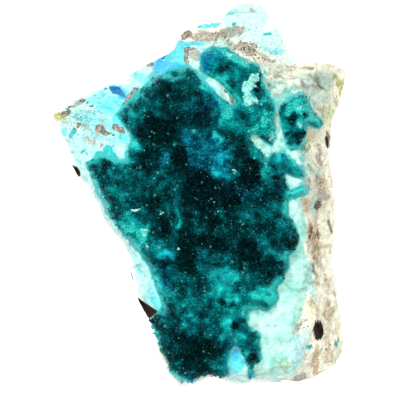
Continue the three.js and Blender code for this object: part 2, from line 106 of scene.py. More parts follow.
# The main druse: a broad sheet with a lobe at the upper right, and ragged bays and arms.
DRUSE_OUTLINE = (
    (-2.2, 21.9), (-0.7, 20.5), (1.2, 18.5), (3.6, 16.2), (5.6, 14.9), (6.3, 15.6), (4.8, 17.6),
    (3.1, 19.7), (1.5, 20.2), (0.3, 21.2), (0.2, 23.3), (1, 24.5), (2.9, 25), (5, 24.5),
    (6.5, 23.3), (8.4, 22.1), (9.7, 21.9), (10.3, 21), (10.6, 18.8), (11.5, 17.3), (12.5, 15),
    (12.5, 9.6), (12.1, 8.4), (11.3, 8.9), (9.7, 10.3), (8.6, 10.3), (8.2, 9.2), (9.4, 7.9),
    (11.6, 5.8), (12.7, 6.8), (14.3, 6.9), (15.1, 5.9), (16.1, 5.4), (17.2, 4.5), (17.9, 3.5),
    (17.9, 2.7), (16.9, 2.6), (15.6, 3), (14.3, 4.6), (14.4, 1.8), (15.5, 0.5), (16.6, 1.2),
    (17.8, 1.5), (18.5, 0.8), (18, 0.3), (15.2, -0.5), (14.7, -3.1), (16.4, -5.8), (16.8, -7.5),
    (16.1, -9.4), (15, -10.6), (15, -12.3), (14.2, -14.2), (12.8, -16.2), (13.5, -17.8),
    (12.1, -19.2), (11.3, -20), (9.4, -19.3), (8, -19.8), (8, -22.2), (8.8, -23), (9.7, -23.7),
    (10.2, -24.5), (10, -25.3), (10.2, -26.5), (10.3, -27.9), (9.8, -28.6), (9.1, -29.1),
    (8.9, -29.8), (8.7, -30.6), (9, -31.8), (8.6, -31.8), (8.3, -31), (8.3, -29.6), (8, -28.6),
    (7.4, -27.5), (6.9, -26.5), (6.3, -25.9), (5.5, -26), (5, -27.1), (4.6, -28.7), (4.6, -30.4),
    (4.6, -31.2), (4.2, -31.5), (2.1, -30.9), (0.4, -31.4), (-1, -32.1), (-3.1, -32.5),
    (-3.7, -32.3), (-4.3, -31.3), (-5.5, -30.1), (-6.4, -27.7), (-8.5, -21.5), (-7.7, -20.7),
    (-6.5, -19.9), (-6.3, -18.1), (-7.5, -15.7), (-8.6, -12.5), (-10.6, -9.7), (-12.7, -7),
    (-15.2, -4.1), (-18.3, 2.4), (-19.3, 5.3), (-17.3, 6.3), (-15.6, 6), (-13.7, 5.3), (-12, 5.3),
    (-12.3, 7.4), (-11.3, 9.4), (-12.7, 11.6), (-14, 13.7), (-12.3, 15.4), (-9.9, 17.8),
    (-7.9, 20.2), (-5, 20.7),
)

# The druse in the side pocket.
POCKET_OUTLINE = (
    (15.2, 16.2), (16.6, 16.9), (17.6, 17.1), (18.5, 16.4), (18.6, 14.9), (21, 12), (20.2, 11.3),
    (18.5, 12.1), (17.8, 11.6), (18, 10.4), (17.6, 9.2), (16.8, 7.9), (15.7, 7.5), (14.9, 8.7),
    (14, 12.3), (13.5, 14.2),
)

# Broken faces of the rock's upper side: x, y, direction in degrees, fall per mm. Faces
# in one row meet in a re-entrant corner.
UPPER_BREAKS = (
    ((18.6, -8, 2, 1.35),),
    ((16.5, -26, -28, 0.75),),
    ((2, -30.5, -90, 1.5),),
    ((-14.2, -4.6, 210, 1.45), (-10.4, -12.6, 197, 1.6)),
    ((-12.5, 11, 158, 0.42),),
    ((-5, 20.8, 118, 0.85),),
    ((5, 25, 84, 0.62),),
    ((13, 21, 52, 0.5),),
    ((20.5, 12, 12, 1),),
)

# Broken faces under the slab: reach from the origin, direction and rise per mm.
UNDERCUTS = (
    (17.5, 0, 1.05), (23, 42, 0.85), (24.5, 78, 0.8), (18, 118, 0.95), (19.5, 150, 0.9),
    (11, 208, 1.2), (22, 250, 0.75), (27, 290, 0.9), (25.5, 325, 0.95),
)

# Swells (+) and hollows (-) of the rock's upper face: x, y, radius, height.
SWELLS = (
    (7, 20, 5, -2.1), (11.5, 13.5, 3.5, -1), (3, 18, 2.2, 1.7), (16.8, 11.8, 3.6, -1.7),
    (12.5, -25.5, 5, 0.8), (-17, 12.5, 4, 0.7), (5, 28.5, 2.4, 1), (21, -25, 4, 0.9),
)

# Deep pits and slits: x, y, half width, half length, turn in degrees.
PITS = (
    (20.2, -23.3, 0.85, 1.5, 5), (21.7, 8.9, 0.25, 1.1, 8), (-21.2, 3.9, 0.6, 1, 40),
)

# A wedge-shaped hole at the left edge.
NOTCH = (
    (-10.9, -17.4), (-9.9, -18.1), (-7, -20), (-7.5, -20.5), (-8.7, -21.4), (-9.6, -20),
    (-10.4, -18.6),
)

# Lumps (+) and dips (-) of the main druse and of the pocket's: x, y, radius, height.
DRUSE_LUMPS = (
    (-6, 15.2, 5, 1.2), (-0.9, 11.8, 4, 0.9), (2.1, 5, 4.2, 1.1), (3.1, 9.2, 1.8, 0.8),
    (8.6, 3.2, 4, 0.9), (0, 0.7, 3.2, -0.9), (-15.2, 0.7, 4.6, 0.8), (-8.6, 1.2, 3.6, 0.7),
    (-11.6, 5, 2.4, -0.7), (-4.8, -3.6, 2, 0.7), (-9.6, -5.3, 3.2, 0.9), (-6.6, -8.4, 2.4, -0.8),
    (-6, -11.6, 2, 0.8), (2.6, -5.3, 3.8, 0.6), (7.7, -3.4, 3, -0.7), (13.6, -7, 3.2, 1.1),
    (9.4, -8.4, 2.6, -0.6), (12, -12, 3.6, 1), (4.3, -15.4, 3.6, 0.9), (-1.7, -13.4, 3.4, -0.7),
    (9, -17.4, 2.6, 0.7), (-3.6, -19.6, 3.8, 0.8), (4.6, -20, 1.8, -1), (6, -23.5, 2.3, 0.8),
    (-3.8, -26, 3.8, 1.2), (0.9, -26.4, 2.4, -0.8), (9, -25.8, 2, 0.8), (8, 18.8, 1.5, 1),
    (8, 16.3, 1.4, 0.9), (10.6, 14.4, 2.4, 0.6),
)
POCKET_LUMPS = (
    (15.6, 12, 1.6, -0.6), (17.2, 14.6, 1.5, 0.5),
)

# Cracks in the chrysocolla and the rock: width, depth and the points that each runs through.
CRACKS = (
    (0.22, 0.3, ((14.7, -15.5), (15.6, -16.2), (16.8, -16.3), (18.1, -16))),
    (0.16, 0.16, ((12.6, -24.6), (14.2, -25), (15.6, -24.6), (16.6, -24.2))),
    (0.2, 0.4, ((19.2, -12.1), (19.4, -13.1), (20, -14))),
    (0.2, 0.3, ((17.6, -12.2), (18.8, -12.8), (19.3, -13.4))),
    (0.2, 0.5, ((17.6, 16.5), (18.6, 15.2), (19.2, 14), (20, 13.1), (20.9, 12))),
    (0.16, 0.25, ((18.4, 20.3), (19.4, 19.9), (20.1, 18.8), (20.9, 18))),
    (0.14, 0.2, ((13.2, 17.7), (15, 17.5), (16.3, 16.9))),
    (0.16, 0.22, ((17.1, 21.4), (18.1, 21.2), (19.3, 21.4))),
    (0.2, 0.3, ((19.8, 20.3), (20.3, 19.5), (20.3, 18.5), (21.7, 17.6))),
    (0.16, 0.2, ((17.1, 19.5), (17.6, 18.5), (19, 18))),
    (0.24, 0.5, ((21.9, -4.6), (22.2, -5.5), (22.5, -6.5))),
    (0.14, 0.2, ((11.3, 19.5), (13, 19), (15, 18.8))),
    (0.14, 0.2, ((10.6, 25), (12.3, 24.1), (14.2, 23.6))),
    (0.14, 0.16, ((9.6, 22.9), (11.6, 22.6), (13.7, 22.9))),
    (0.16, 0.25, ((17.8, 2.7), (18.1, 1.4), (17.6, 0.7))),
    (0.14, 0.2, ((19.2, 5.8), (19.8, 4.8), (20.5, 4.4))),
    (0.12, 0.16, ((12.3, 12.7), (13.3, 12.5), (14, 12.7))),
    (0.12, 0.16, ((12.3, 14), (13.5, 13.7))),
)

# Where the rim stands a little further out: x, y, radius and by how much.
PROUD_SPOTS = (
    (11.6, 29.1, 2.2, 0.35), (-15, 18.8, 3, 0.3), (24.5, 16.9, 3.2, 0.35), (22.2, -30.1, 3, 0.25),
    (-22.9, 7.5, 2.5, 0.2), (-11.1, -14.7, 3, 0.2), (9.6, 32.8, 1.5, 0.2),
)

# ------------------------------------------------------------ coloured patches
# Each patch is x, y, its two half widths, its turn in degrees if it has one, and its
# strength. A druse's tones are how much lighter or darker each patch is than the ground.
DRUSE_TONES = (
    (-5.5, 14.4, 5.1, 4.8, -0.1), (-6.5, 10.3, 2.9, 2.4, -0.4), (-4.8, 16.8, 3.8, 2.1, -0.1),
    (-8.7, 12.7, 1.2, 1.4, -0.26), (0.5, 13, 1.7, 1.7, -0.3), (-2.4, 8.2, 1.4, 1, 0.02),
    (-3.6, 6.3, 1.4, 2.2, -0.42), (-8.6, 5.8, 1.7, 2.7, -0.27), (-5.5, 8.2, 1.5, 1, -0.14),
    (0.7, 15.9, 1.4, 1.4, -0.22), (-5.1, 19.7, 1.7, 0.68, 0.28), (-9.1, 17.4, 0.68, 1.5, -15, 0.22),
    (-11.5, 12.3, 0.68, 2.4, 15, 0.22), (-10.6, 8.2, 1, 1.7, 0.34), (-12, 4.1, 0.86, 0.86, 0.12),
    (-11.6, 5.8, 0.86, 1, 0.1), (-2.4, 18.8, 0.51, 1.5, -8, 0.1), (-6, 5.8, 0.86, 0.86, 0.24),
    (-7.4, 3.1, 0.68, 0.86, 0.16), (0.5, 0.7, 4.1, 2.9, -0.42), (3.8, -1, 2.7, 1.7, -0.3),
    (-1.7, 3.4, 2.1, 1.4, -0.22), (8.6, 3.1, 1.5, 2.6, -0.36), (7.2, 6.2, 2.1, 2.1, -0.32),
    (5.8, 1, 1.4, 2.1, -0.28), (6.3, -1.2, 1.4, 1.2, -0.22), (7.9, 8.9, 1.5, 1.2, -0.2),
    (1.2, -2.1, 2.4, 1.4, -0.2), (0, -4.3, 1, 1, -0.1), (-0.7, 7.2, 1.4, 0.86, -0.14),
    (1.4, 18, 0.68, 2.4, 45, 0.3), (1.2, 15.9, 1, 1.2, 0.14), (3.2, 16.2, 0.86, 2.1, 35, 0.4),
    (4.4, 14, 0.86, 1.7, 10, 0.5), (3.8, 12, 0.86, 1.4, 0.2), (0.9, 18.8, 1.4, 0.86, 0.22),
    (-15.4, 4.1, 1.7, 0.86, 0.1), (-12, 3.9, 1, 1, 0.2), (-15.4, 0.5, 1, 1, 0.12),
    (2.4, 22.9, 2.6, 1.5, 0.1), (3.8, 24.3, 2.4, 0.68, -10, 0.3), (6.3, 22.9, 2.1, 0.86, -25, 0.35),
    (4.4, 21.4, 1.5, 0.86, -0.2), (3.4, 19.5, 1.2, 0.51, -20, 0.35),
    (4.6, 18.5, 1.2, 0.43, -25, 0.4), (6.2, 17.4, 0.68, 1.4, 0), (6.8, 19.5, 0.86, 1, 0.04),
    (9.1, 20.9, 1, 0.68, 0.02), (10.6, 15.6, 0.68, 0.86, 0.4), (9.9, 18.3, 0.41, 0.94, -0.5),
    (10.6, 16.9, 0.86, 1.7, 0.14), (8.9, 20.9, 1.4, 1, 0.1), (6.5, 13.9, 1.2, 0.68, 0),
    (7.7, 15, 1.4, 1, 0.26), (7.4, 16.2, 0.86, 1.4, 0.2), (9.1, 16.6, 0.51, 1, 0.25),
    (9.6, 13, 1.9, 2.1, 0.35), (11.6, 12, 1, 2.4, 0.42), (9.7, 10.8, 1.7, 0.86, -10, 0.34),
    (6.8, 11.6, 1.5, 1.4, 0.28), (10.9, 9.2, 0.34, 0.34, -0.3), (11.6, 16.4, 0.86, 1.7, 0.26),
    (10.9, 19.2, 0.51, 1.4, 0.24), (5.1, 20.2, 1.7, 0.86, 0.2), (6.8, 17.4, 1.7, 2.1, 0.22),
    (2.9, 9.6, 0.86, 1.2, 30, 0.62), (2.9, 9.2, 0.27, 0.34, -0.6), (3.2, 5.3, 1, 2.9, 0.36),
    (2.9, 3.2, 1.2, 0.68, 0.3), (-0.7, 5.8, 2.1, 1.4, 0.06), (5.3, 3.2, 1.5, 0.86, 0.14),
    (-2.1, 8.7, 0.68, 0.86, 0.2), (1.2, 8.2, 1.5, 1.2, 0.1), (0.7, 10.9, 1.4, 1, -0.12),
    (-1.5, 5.3, 1.2, 1.4, -0.12), (0.2, 2.7, 1.4, 1.7, -0.08), (-1.9, 10.6, 1.2, 1.2, 0.12),
    (1, 4.4, 1.2, 0.86, -0.14), (-17.8, 4.4, 0.86, 1.4, 0.16), (-14, 5.5, 2.1, 0.68, 0.25),
    (-16.4, 4.8, 1.7, 1, -0.16), (-13, 1.4, 4.1, 3.4, 0.04), (-17.4, 1.4, 0.68, 2.4, 20, 0.3),
    (-9.6, -0.3, 1.7, 1.7, -0.18), (-11.3, -1.2, 1.5, 1, -0.16), (-8.2, -1.9, 1.4, 1.5, -0.28),
    (-6.8, -0.9, 1.4, 1, -0.12), (-11.6, -2.7, 1, 0.86, -0.1), (-14.2, 3.1, 2.4, 1.4, -0.1),
    (-13.7, -2.6, 1.4, 1.2, -0.06), (-16.1, -1, 0.68, 1.7, 30, 0.25),
    (-11.6, -5.1, 2.7, 1.4, -40, 0.54), (-9.7, -7.5, 1, 2.1, -30, 0.42),
    (-8.7, -6.5, 0.68, 1.7, -10, 0.16), (-6.8, -5.1, 1.4, 2.1, -0.26),
    (-8.4, -6.7, 0.68, 1.2, -0.2), (-7.2, -7.9, 1, 0.86, 0.18), (-6, -10.3, 1.5, 1, 5, 0.44),
    (-5.1, -3.1, 1, 1.4, -0.1), (-3.8, -3.4, 0.55, 3.8, 2, 0.28), (-7.2, -0.3, 0.86, 1, -0.05),
    (-5.1, 0.7, 1.4, 2.4, -0.16), (-2.7, -4.8, 1.2, 1, 0.14), (-1.2, -5.8, 1.5, 1, 0.16),
    (-10.3, -9.7, 0.51, 1.5, 25, 0.2), (-5.8, -11.6, 2.4, 1.2, -0.2), (-8, -11.3, 0.86, 1.2, -0.12),
    (-6.8, -9.6, 0.86, 0.68, -0.08), (-1, -13.5, 1.7, 1, -0.12), (-2.4, -8.4, 1.5, 5.1, -4, -0.4),
    (1, -7.9, 2.2, 1.5, -0.46), (3.2, -8.4, 1.7, 1.4, -0.36), (-1.2, -11.6, 1, 2.1, -0.3),
    (5.1, -3.8, 1.2, 2.4, -0.28), (2.1, -4.8, 1.2, 1.4, -0.24), (8, -9.6, 2.2, 2.1, -0.42),
    (6.8, -6.5, 1, 1.4, -0.1), (11.5, -12.7, 2.4, 1.7, -10, -0.22), (9.6, -11.5, 1.5, 1.4, -0.26),
    (13, -6.2, 3.1, 2.1, -0.08), (15, -7.9, 1, 1.5, -0.12), (10.6, -8.4, 1, 0.68, 0.2),
    (14.5, -10.6, 1.7, 1, 20, 0.3), (13, -9.9, 1.4, 0.86, 0.16), (7.9, -4.3, 1.2, 1.2, 0.12),
    (12, -4.1, 1.4, 1, 0.14), (14.9, -3.1, 1, 0.86, 0.14), (9.6, 0.2, 1.4, 1, 0.12),
    (3.8, -14.2, 2.9, 1.9, 0.42), (2.7, -16.6, 1.5, 1.2, 0.26), (7.4, -15.2, 1.4, 1.2, 0.02),
    (8.6, -17.1, 1.4, 0.86, 0.25), (11.1, -16.9, 2.1, 1.7, -15, 0.52),
    (13.5, -14.7, 1.2, 1.5, 0.56), (13.7, -9.9, 1.5, 0.86, 0.12), (8.2, -18.6, 2.1, 0.86, 0.24),
    (5.5, -17.6, 1.4, 1, 0.3), (4.1, -18.6, 0.68, 0.38, -15, -0.45), (3.8, -16.8, 1.7, 1.4, 0.14),
    (6, -22.1, 0.77, 0.77, -0.55), (6.8, -19.8, 1.5, 1.2, 0.26), (4.3, -21.9, 0.86, 1.5, 0.42),
    (4.4, -24.3, 1.5, 1, 0.26), (6.7, -24.5, 1.4, 1.4, 0.28), (8.7, -27.9, 1.2, 0.86, -0.28),
    (8.9, -24.5, 0.68, 0.68, -0.1), (9.4, -26, 0.51, 0.68, 0.1), (7.9, -26.7, 1, 0.68, 0.24),
    (2.4, -19.5, 1.4, 1, 0.16), (2.1, -21.5, 1.5, 1.5, 0.22), (3.6, -19, 1.7, 1.5, 0.1),
    (-5.5, -20, 0.86, 1.2, 0.14), (8.6, -20.2, 2.1, 1, 0.08), (7.4, -23.3, 2.1, 1, 0.1),
    (6.3, -25.5, 1, 0.68, -0.16), (3.8, -25, 0.86, 0.68, -0.1), (1.4, -18.1, 1, 0.86, 0.1),
    (-4.8, -17.4, 2.4, 2.4, 0), (-1.7, -18.1, 1.5, 1.2, 0.08), (-7.2, -14.4, 1, 2.7, 20, 0.26),
    (-1.7, -21.5, 2.1, 1.7, 0.34), (-3.1, -16.1, 1.4, 1.7, -0.16), (-5.8, -21.2, 1, 0.68, 0.06),
    (-7.4, -21.4, 1.2, 0.86, -0.45), (-1.7, -26.7, 4.8, 2.7, -8, -0.26), (0.3, -27, 2.7, 1.5, -0.1),
    (-5.1, -25.7, 1.5, 1.4, 0.02), (-1.7, -29.2, 1.7, 1, -0.1), (-7.7, -25, 0.68, 2.1, 10, 0.3),
    (-6.7, -28, 0.68, 1.4, 30, 0.22), (-4.8, -29.4, 1.2, 1.2, -0.12),
    (-6, -30.4, 0.86, 0.68, -0.08), (-5, -25.7, 1.4, 1.4, 0.08), (0.3, -30.8, 2.1, 0.86, -0.1),
    (-3.8, -31.5, 2.1, 0.68, 0.24), (-0.3, -32, 2.1, 0.68, 0.24), (0.5, -30.1, 1.5, 0.68, -0.16),
    (2.7, -29.1, 1.7, 0.68, -25, 0.24), (5.5, -28, 0.68, 1.4, 0.2), (3.8, -26, 1, 0.86, -0.1),
    (13.5, 6.3, 1, 0.68, 0.3), (15.7, 4.4, 1.9, 1, -35, 0.3), (17.3, 3.2, 0.68, 0.68, 0.1),
    (14.4, 5.1, 0.51, 0.68, -0.1), (11.1, 3.8, 1.4, 0.86, 0.36), (10.1, 6.2, 1.5, 1, 0.32),
    (8.6, 7.4, 1, 0.68, 0.14), (16.8, 0.5, 1.5, 0.86, 20, 0.42), (14.4, -1.5, 1.5, 2.1, 0.28),
    (13.3, 2.1, 0.68, 1.4, -0.28), (13.9, 4.4, 0.86, 0.86, 0.16), (11.6, 2.2, 1, 0.68, 0.1),
    (15.6, -0.9, 0.86, 0.86, 0.3), (-18.5, 4.1, 0.86, 1.2, -0.18), (-5.1, 19.5, 1.2, 0.86, 0.2),
    (0.3, 19.5, 0.86, 0.86, 0.15), (1.4, 16.1, 1.4, 1, 0.14), (0, 14.4, 0.86, 0.68, 0.1),
    (10.6, 19.5, 0.68, 1.4, 0.12), (5.1, 22.9, 1, 0.68, 0.12), (6.8, 21.2, 1, 0.68, 0.1),
    (6.2, 13.5, 1.5, 1.4, 0.08), (-10.1, 8.9, 1, 1, 0.18), (-9.2, 7.2, 1.4, 1, 0.08),
    (-10.3, 5.6, 0.86, 0.86, 0.15), (-6.3, 6.7, 1.2, 1.4, -0.12), (-5, 7.7, 0.86, 0.86, -0.1),
    (-1.7, 9.2, 0.86, 0.86, -0.14), (-1.7, 7.4, 0.68, 0.68, 0.08), (-3.4, 4.1, 0.68, 0.86, 0.14),
    (3.6, 5.6, 1.2, 0.86, -0.12), (6.8, 5.6, 0.68, 0.86, 0.14), (9.4, 7.5, 1.2, 1.4, 0.12),
    (10.4, 5.5, 0.86, 1, 0.14), (13.7, 3.8, 0.86, 0.86, 0.14), (15.4, 3.8, 0.86, 0.68, 0.08),
    (-6.8, 0.7, 0.86, 0.86, -0.12), (-8.6, -1, 0.68, 0.68, 0.1), (0.9, -1.2, 1.5, 0.68, -0.1),
    (6.8, -1.2, 0.68, 0.68, -0.1), (0, -4.4, 0.68, 0.68, -0.14), (-10.3, -4.4, 0.68, 0.68, 0.1),
    (-9.4, -7.9, 1.2, 0.86, 0.14), (-5.5, -10.1, 1.2, 1.2, -0.12), (2.7, -9.6, 1.2, 0.68, -0.1),
    (15.2, -9.7, 0.68, 0.68, 0.14), (11.1, -11.3, 1.2, 0.68, 0.1), (12.3, -14.7, 0.86, 0.68, 0.12),
    (0, -13, 0.68, 0.68, -0.1), (-5.1, -14.7, 0.68, 0.68, 0.12), (5.1, -16.4, 0.86, 0.68, 0.16),
    (-1.7, -16.6, 0.68, 0.68, 0.08), (3.4, -16.4, 0.68, 0.68, 0.06), (5.1, -18.3, 1.7, 0.68, 0.08),
    (12, -18.1, 0.68, 0.68, 0.08), (-8, -21.7, 1.2, 0.86, -0.16), (-1.7, -20, 0.68, 0.68, -0.1),
    (0, -19.8, 0.68, 0.68, 0.1), (9.6, -19.8, 1.2, 0.68, 0.1), (8.6, -23.3, 0.68, 0.68, 0.12),
    (6.8, -25, 0.68, 0.68, -0.12), (10.1, -25.1, 0.68, 0.86, 0.12), (9.1, -25.5, 1, 1, 0.12),
    (7.7, -26.8, 1.2, 0.86, 0.14), (-3.4, -29.1, 0.68, 1, 0.16), (0.9, -28.6, 1.2, 0.51, 0.08),
    (1.7, -23.3, 0.68, 0.68, 0.1), (-4.6, 8.6, 0.86, 0.31, 0.4), (-5.5, 8.6, 1.5, 0.86, 0.08),
    (16.1, -0.2, 1.7, 0.86, -20, 0.4), (0.7, 18.5, 1, 1.5, 0.16), (0.7, 14.4, 0.86, 1.7, 0.12),
    (11.1, 18.8, 0.68, 1.7, 0.14), (15.4, -9.9, 0.86, 0.86, 0.16), (13.7, -5, 1.4, 0.86, 0.1),
    (10.6, -11.6, 0.86, 0.86, 0.1), (5.3, -16.8, 1, 0.86, 0.1), (9.2, 8.7, 0.86, 0.86, 0.12),
    (-1, 8.4, 1, 0.86, -0.14), (-9.4, 8.4, 1.5, 0.86, 0.1), (-14.5, 3.2, 1, 0.86, 0.12),
    (-2.6, 3.2, 0.86, 0.86, 0.12), (1.2, 3.2, 1.5, 0.86, -0.1), (1.2, -1.9, 1.5, 0.86, -0.1),
    (7.7, -1.9, 0.86, 0.86, -0.09), (0.9, -5.3, 0.86, 0.86, -0.13), (-7.7, -8.7, 1.5, 0.86, 0.1),
    (-5.1, -10.4, 1, 0.86, -0.08), (0.9, -13.9, 0.86, 0.86, -0.1), (-4.3, -15.6, 0.86, 0.68, 0.1),
    (-0.9, -15.6, 0.86, 0.68, -0.08), (6, -15.6, 0.86, 0.68, -0.08), (8.6, -20.3, 1.5, 0.86, 0.1),
    (-3.1, -30.6, 1.2, 0.86, 0.14), (-4.8, -30.8, 1.7, 0.6, -40, 0.35),
    (-2.1, -32.1, 2.4, 0.51, 0.4), (-6.7, -26.7, 0.43, 2.1, 8, 0.2),
)
DRUSE_BLUE = (
    (1, 22.4, 1.4, 1.9, 1), (0.5, 20.9, 1, 1, 0.9), (3.1, 23.6, 1.4, 1, 0.5),
    (0.9, 6.5, 3.8, 3.8, 0.55), (3.8, 5, 1.4, 2.7, 0.5), (-1.9, 9.2, 1.4, 1.7, 0.6),
    (-1.7, -32, 4.4, 0.86, 0.7), (4.8, -26.7, 0.86, 2.4, 0.5), (-6, -13.9, 1.4, 3.4, 0.25),
    (2.6, 16.1, 1.5, 2.4, 35, 0.45), (8.6, -30.4, 0.68, 1.5, -8, 0.7), (-6, 5.8, 1, 0.86, 0.6),
    (-5.5, -10.3, 1.4, 1, 0.4), (-0.3, 14, 2.1, 2.1, 0.3), (14, 6.3, 1, 0.68, 0.6),
    (6.8, 0.7, 3.4, 2.1, 0.3),
)
DRUSE_PALE = (
    (8.2, 18.5, 1.5, 1.1, 25, 1.1), (9.1, 19.7, 0.86, 0.77, 1.1), (7.4, 17.8, 0.68, 0.51, 0.9),
    (8.1, 16.4, 1, 1.3, 1.1), (9.4, 16.1, 0.34, 0.68, 0.7), (9.9, 20.2, 0.41, 0.44, 0.8),
    (-6.3, -3.4, 0.75, 0.22, 0.75), (-9.2, -6.8, 0.51, 0.86, 15, 0.8),
    (-9.1, -9.1, 0.38, 0.68, -10, 0.7), (5.6, 4.3, 0.77, 0.24, -25, 0.9),
    (12.3, 9.6, 0.68, 0.86, 0.9), (5.1, 23.8, 1.5, 0.58, -12, 0.55),
    (7.7, 22.6, 0.86, 0.51, -20, 0.5), (-11.1, -2.9, 0.86, 0.24, 20, 0.6),
    (10.9, 5, 0.51, 0.27, 0.6), (11.8, 2.9, 0.51, 0.24, 0.4), (-3.8, -9.2, 0.34, 0.34, 0.6),
    (9.2, 16.4, 0.27, 0.68, 0.5), (1.7, 24.3, 0.86, 0.41, 0.4),
)
POCKET_TONES = (
    (16.6, 15, 1.4, 1.4, 0.34), (15.6, 14.4, 1, 1, 0.2), (15, 13.3, 0.86, 0.86, 0.1),
    (17.8, 16.6, 0.51, 0.38, -0.6), (14.2, 14.4, 0.86, 1.4, -0.12), (14.2, 12.3, 0.68, 1.4, -0.1),
    (19.2, 13, 1.4, 0.86, -42, 0.22), (18.3, 12.7, 0.68, 0.51, 0.2),
    (15.9, 12.8, 0.86, 1.2, -20, -0.62), (17.9, 13.5, 0.34, 0.34, -0.7),
    (17.8, 14.2, 1, 0.86, 0.14), (17.3, 12.5, 0.86, 0.86, 0.12), (17.4, 10.9, 0.86, 0.86, -0.08),
    (16.2, 13.2, 0.27, 0.27, -0.4), (16.1, 9.7, 1.7, 1.5, -0.46), (16.8, 12.3, 1, 1.2, 0.14),
    (14.6, 10.1, 0.41, 0.58, -0.5), (17.6, 10.3, 0.41, 1, -0.4), (17.1, 12, 0.34, 0.68, 0.3),
    (16.1, 8, 1.2, 0.51, 0.14), (13.9, 12.3, 0.51, 1.4, 0.05), (16.2, 14.4, 1.5, 1.2, 0.22),
    (16.2, 12.3, 1.4, 1, 0.15), (17.3, 10.3, 0.68, 1.5, 0.18), (19, 12.8, 0.68, 0.68, 0.1),
    (13.9, 13.3, 0.68, 1.4, 0.1), (17.1, 16.1, 0.86, 0.68, 0.08),
)
POCKET_PALE = (
    (17.1, 14.7, 0.41, 0.44, 1), (15.6, 16.2, 0.51, 0.51, 0.5), (17.2, 11.8, 0.22, 0.51, 0.8),
)
# Spots of a druse with large crystals, and spots where the chrysocolla is worn off.
COARSE = (
    (6.5, 19.2, 6.2, 6.8, 1.3), (9.9, 12.3, 3.1, 4.1, 1.3), (-10.3, -5.8, 3.8, 2.4, -40, 1.2),
    (16.6, 14.7, 3.1, 2.7, 0.8), (4.3, -18.1, 3.4, 2.1, 0.5),
)
BARE = (
    (17.6, -21.9, 0.86, 2.7, -35, 0.7), (12.8, 16.9, 1.7, 0.86, 0.6), (17.1, 17.8, 2.1, 1.2, 1),
    (18.5, 10.1, 1.4, 3.1, 1), (19.5, 5, 1.4, 2.1, 1), (14.5, 19.5, 2.4, 1, -10, 0.7),
    (4.8, 16.6, 0.58, 1.5, 42, 0.8), (13.2, 12.3, 0.68, 1.5, 0.5), (18.6, -8.7, 0.86, 3.4, 0.7),
    (17.8, -22.4, 1.4, 1.2, 30, 0.8), (18.8, 2.1, 1, 1, 1), (18.1, 5.5, 0.86, 2.1, 0.9),
)
# Where a druse is dark right up to its rim.
SHARP_RIMS = (
    (14.9, -7.2, 3.8, 5.1, 1), (13, -13, 2.7, 2.4, -30, 0.9), (8.9, -27, 1.5, 3.4, 0.9),
    (-2.6, -25.8, 6.8, 3.4, 0.5), (15.4, 2.4, 2.4, 3.1, 0.9), (10.6, 7.9, 2.7, 2.4, 0.8),
    (3.8, 17.3, 1, 2.7, 42, 0.6), (0.9, -31.5, 5.1, 1, 0.6), (6.5, -28.7, 1.9, 3.4, 0.9),
    (10.6, 17.8, 1.2, 5.8, 0.8), (7.2, 23.9, 4.1, 1.2, -18, 0.5), (1, 16.8, 2.1, 0.9, -45, 0.4),
)

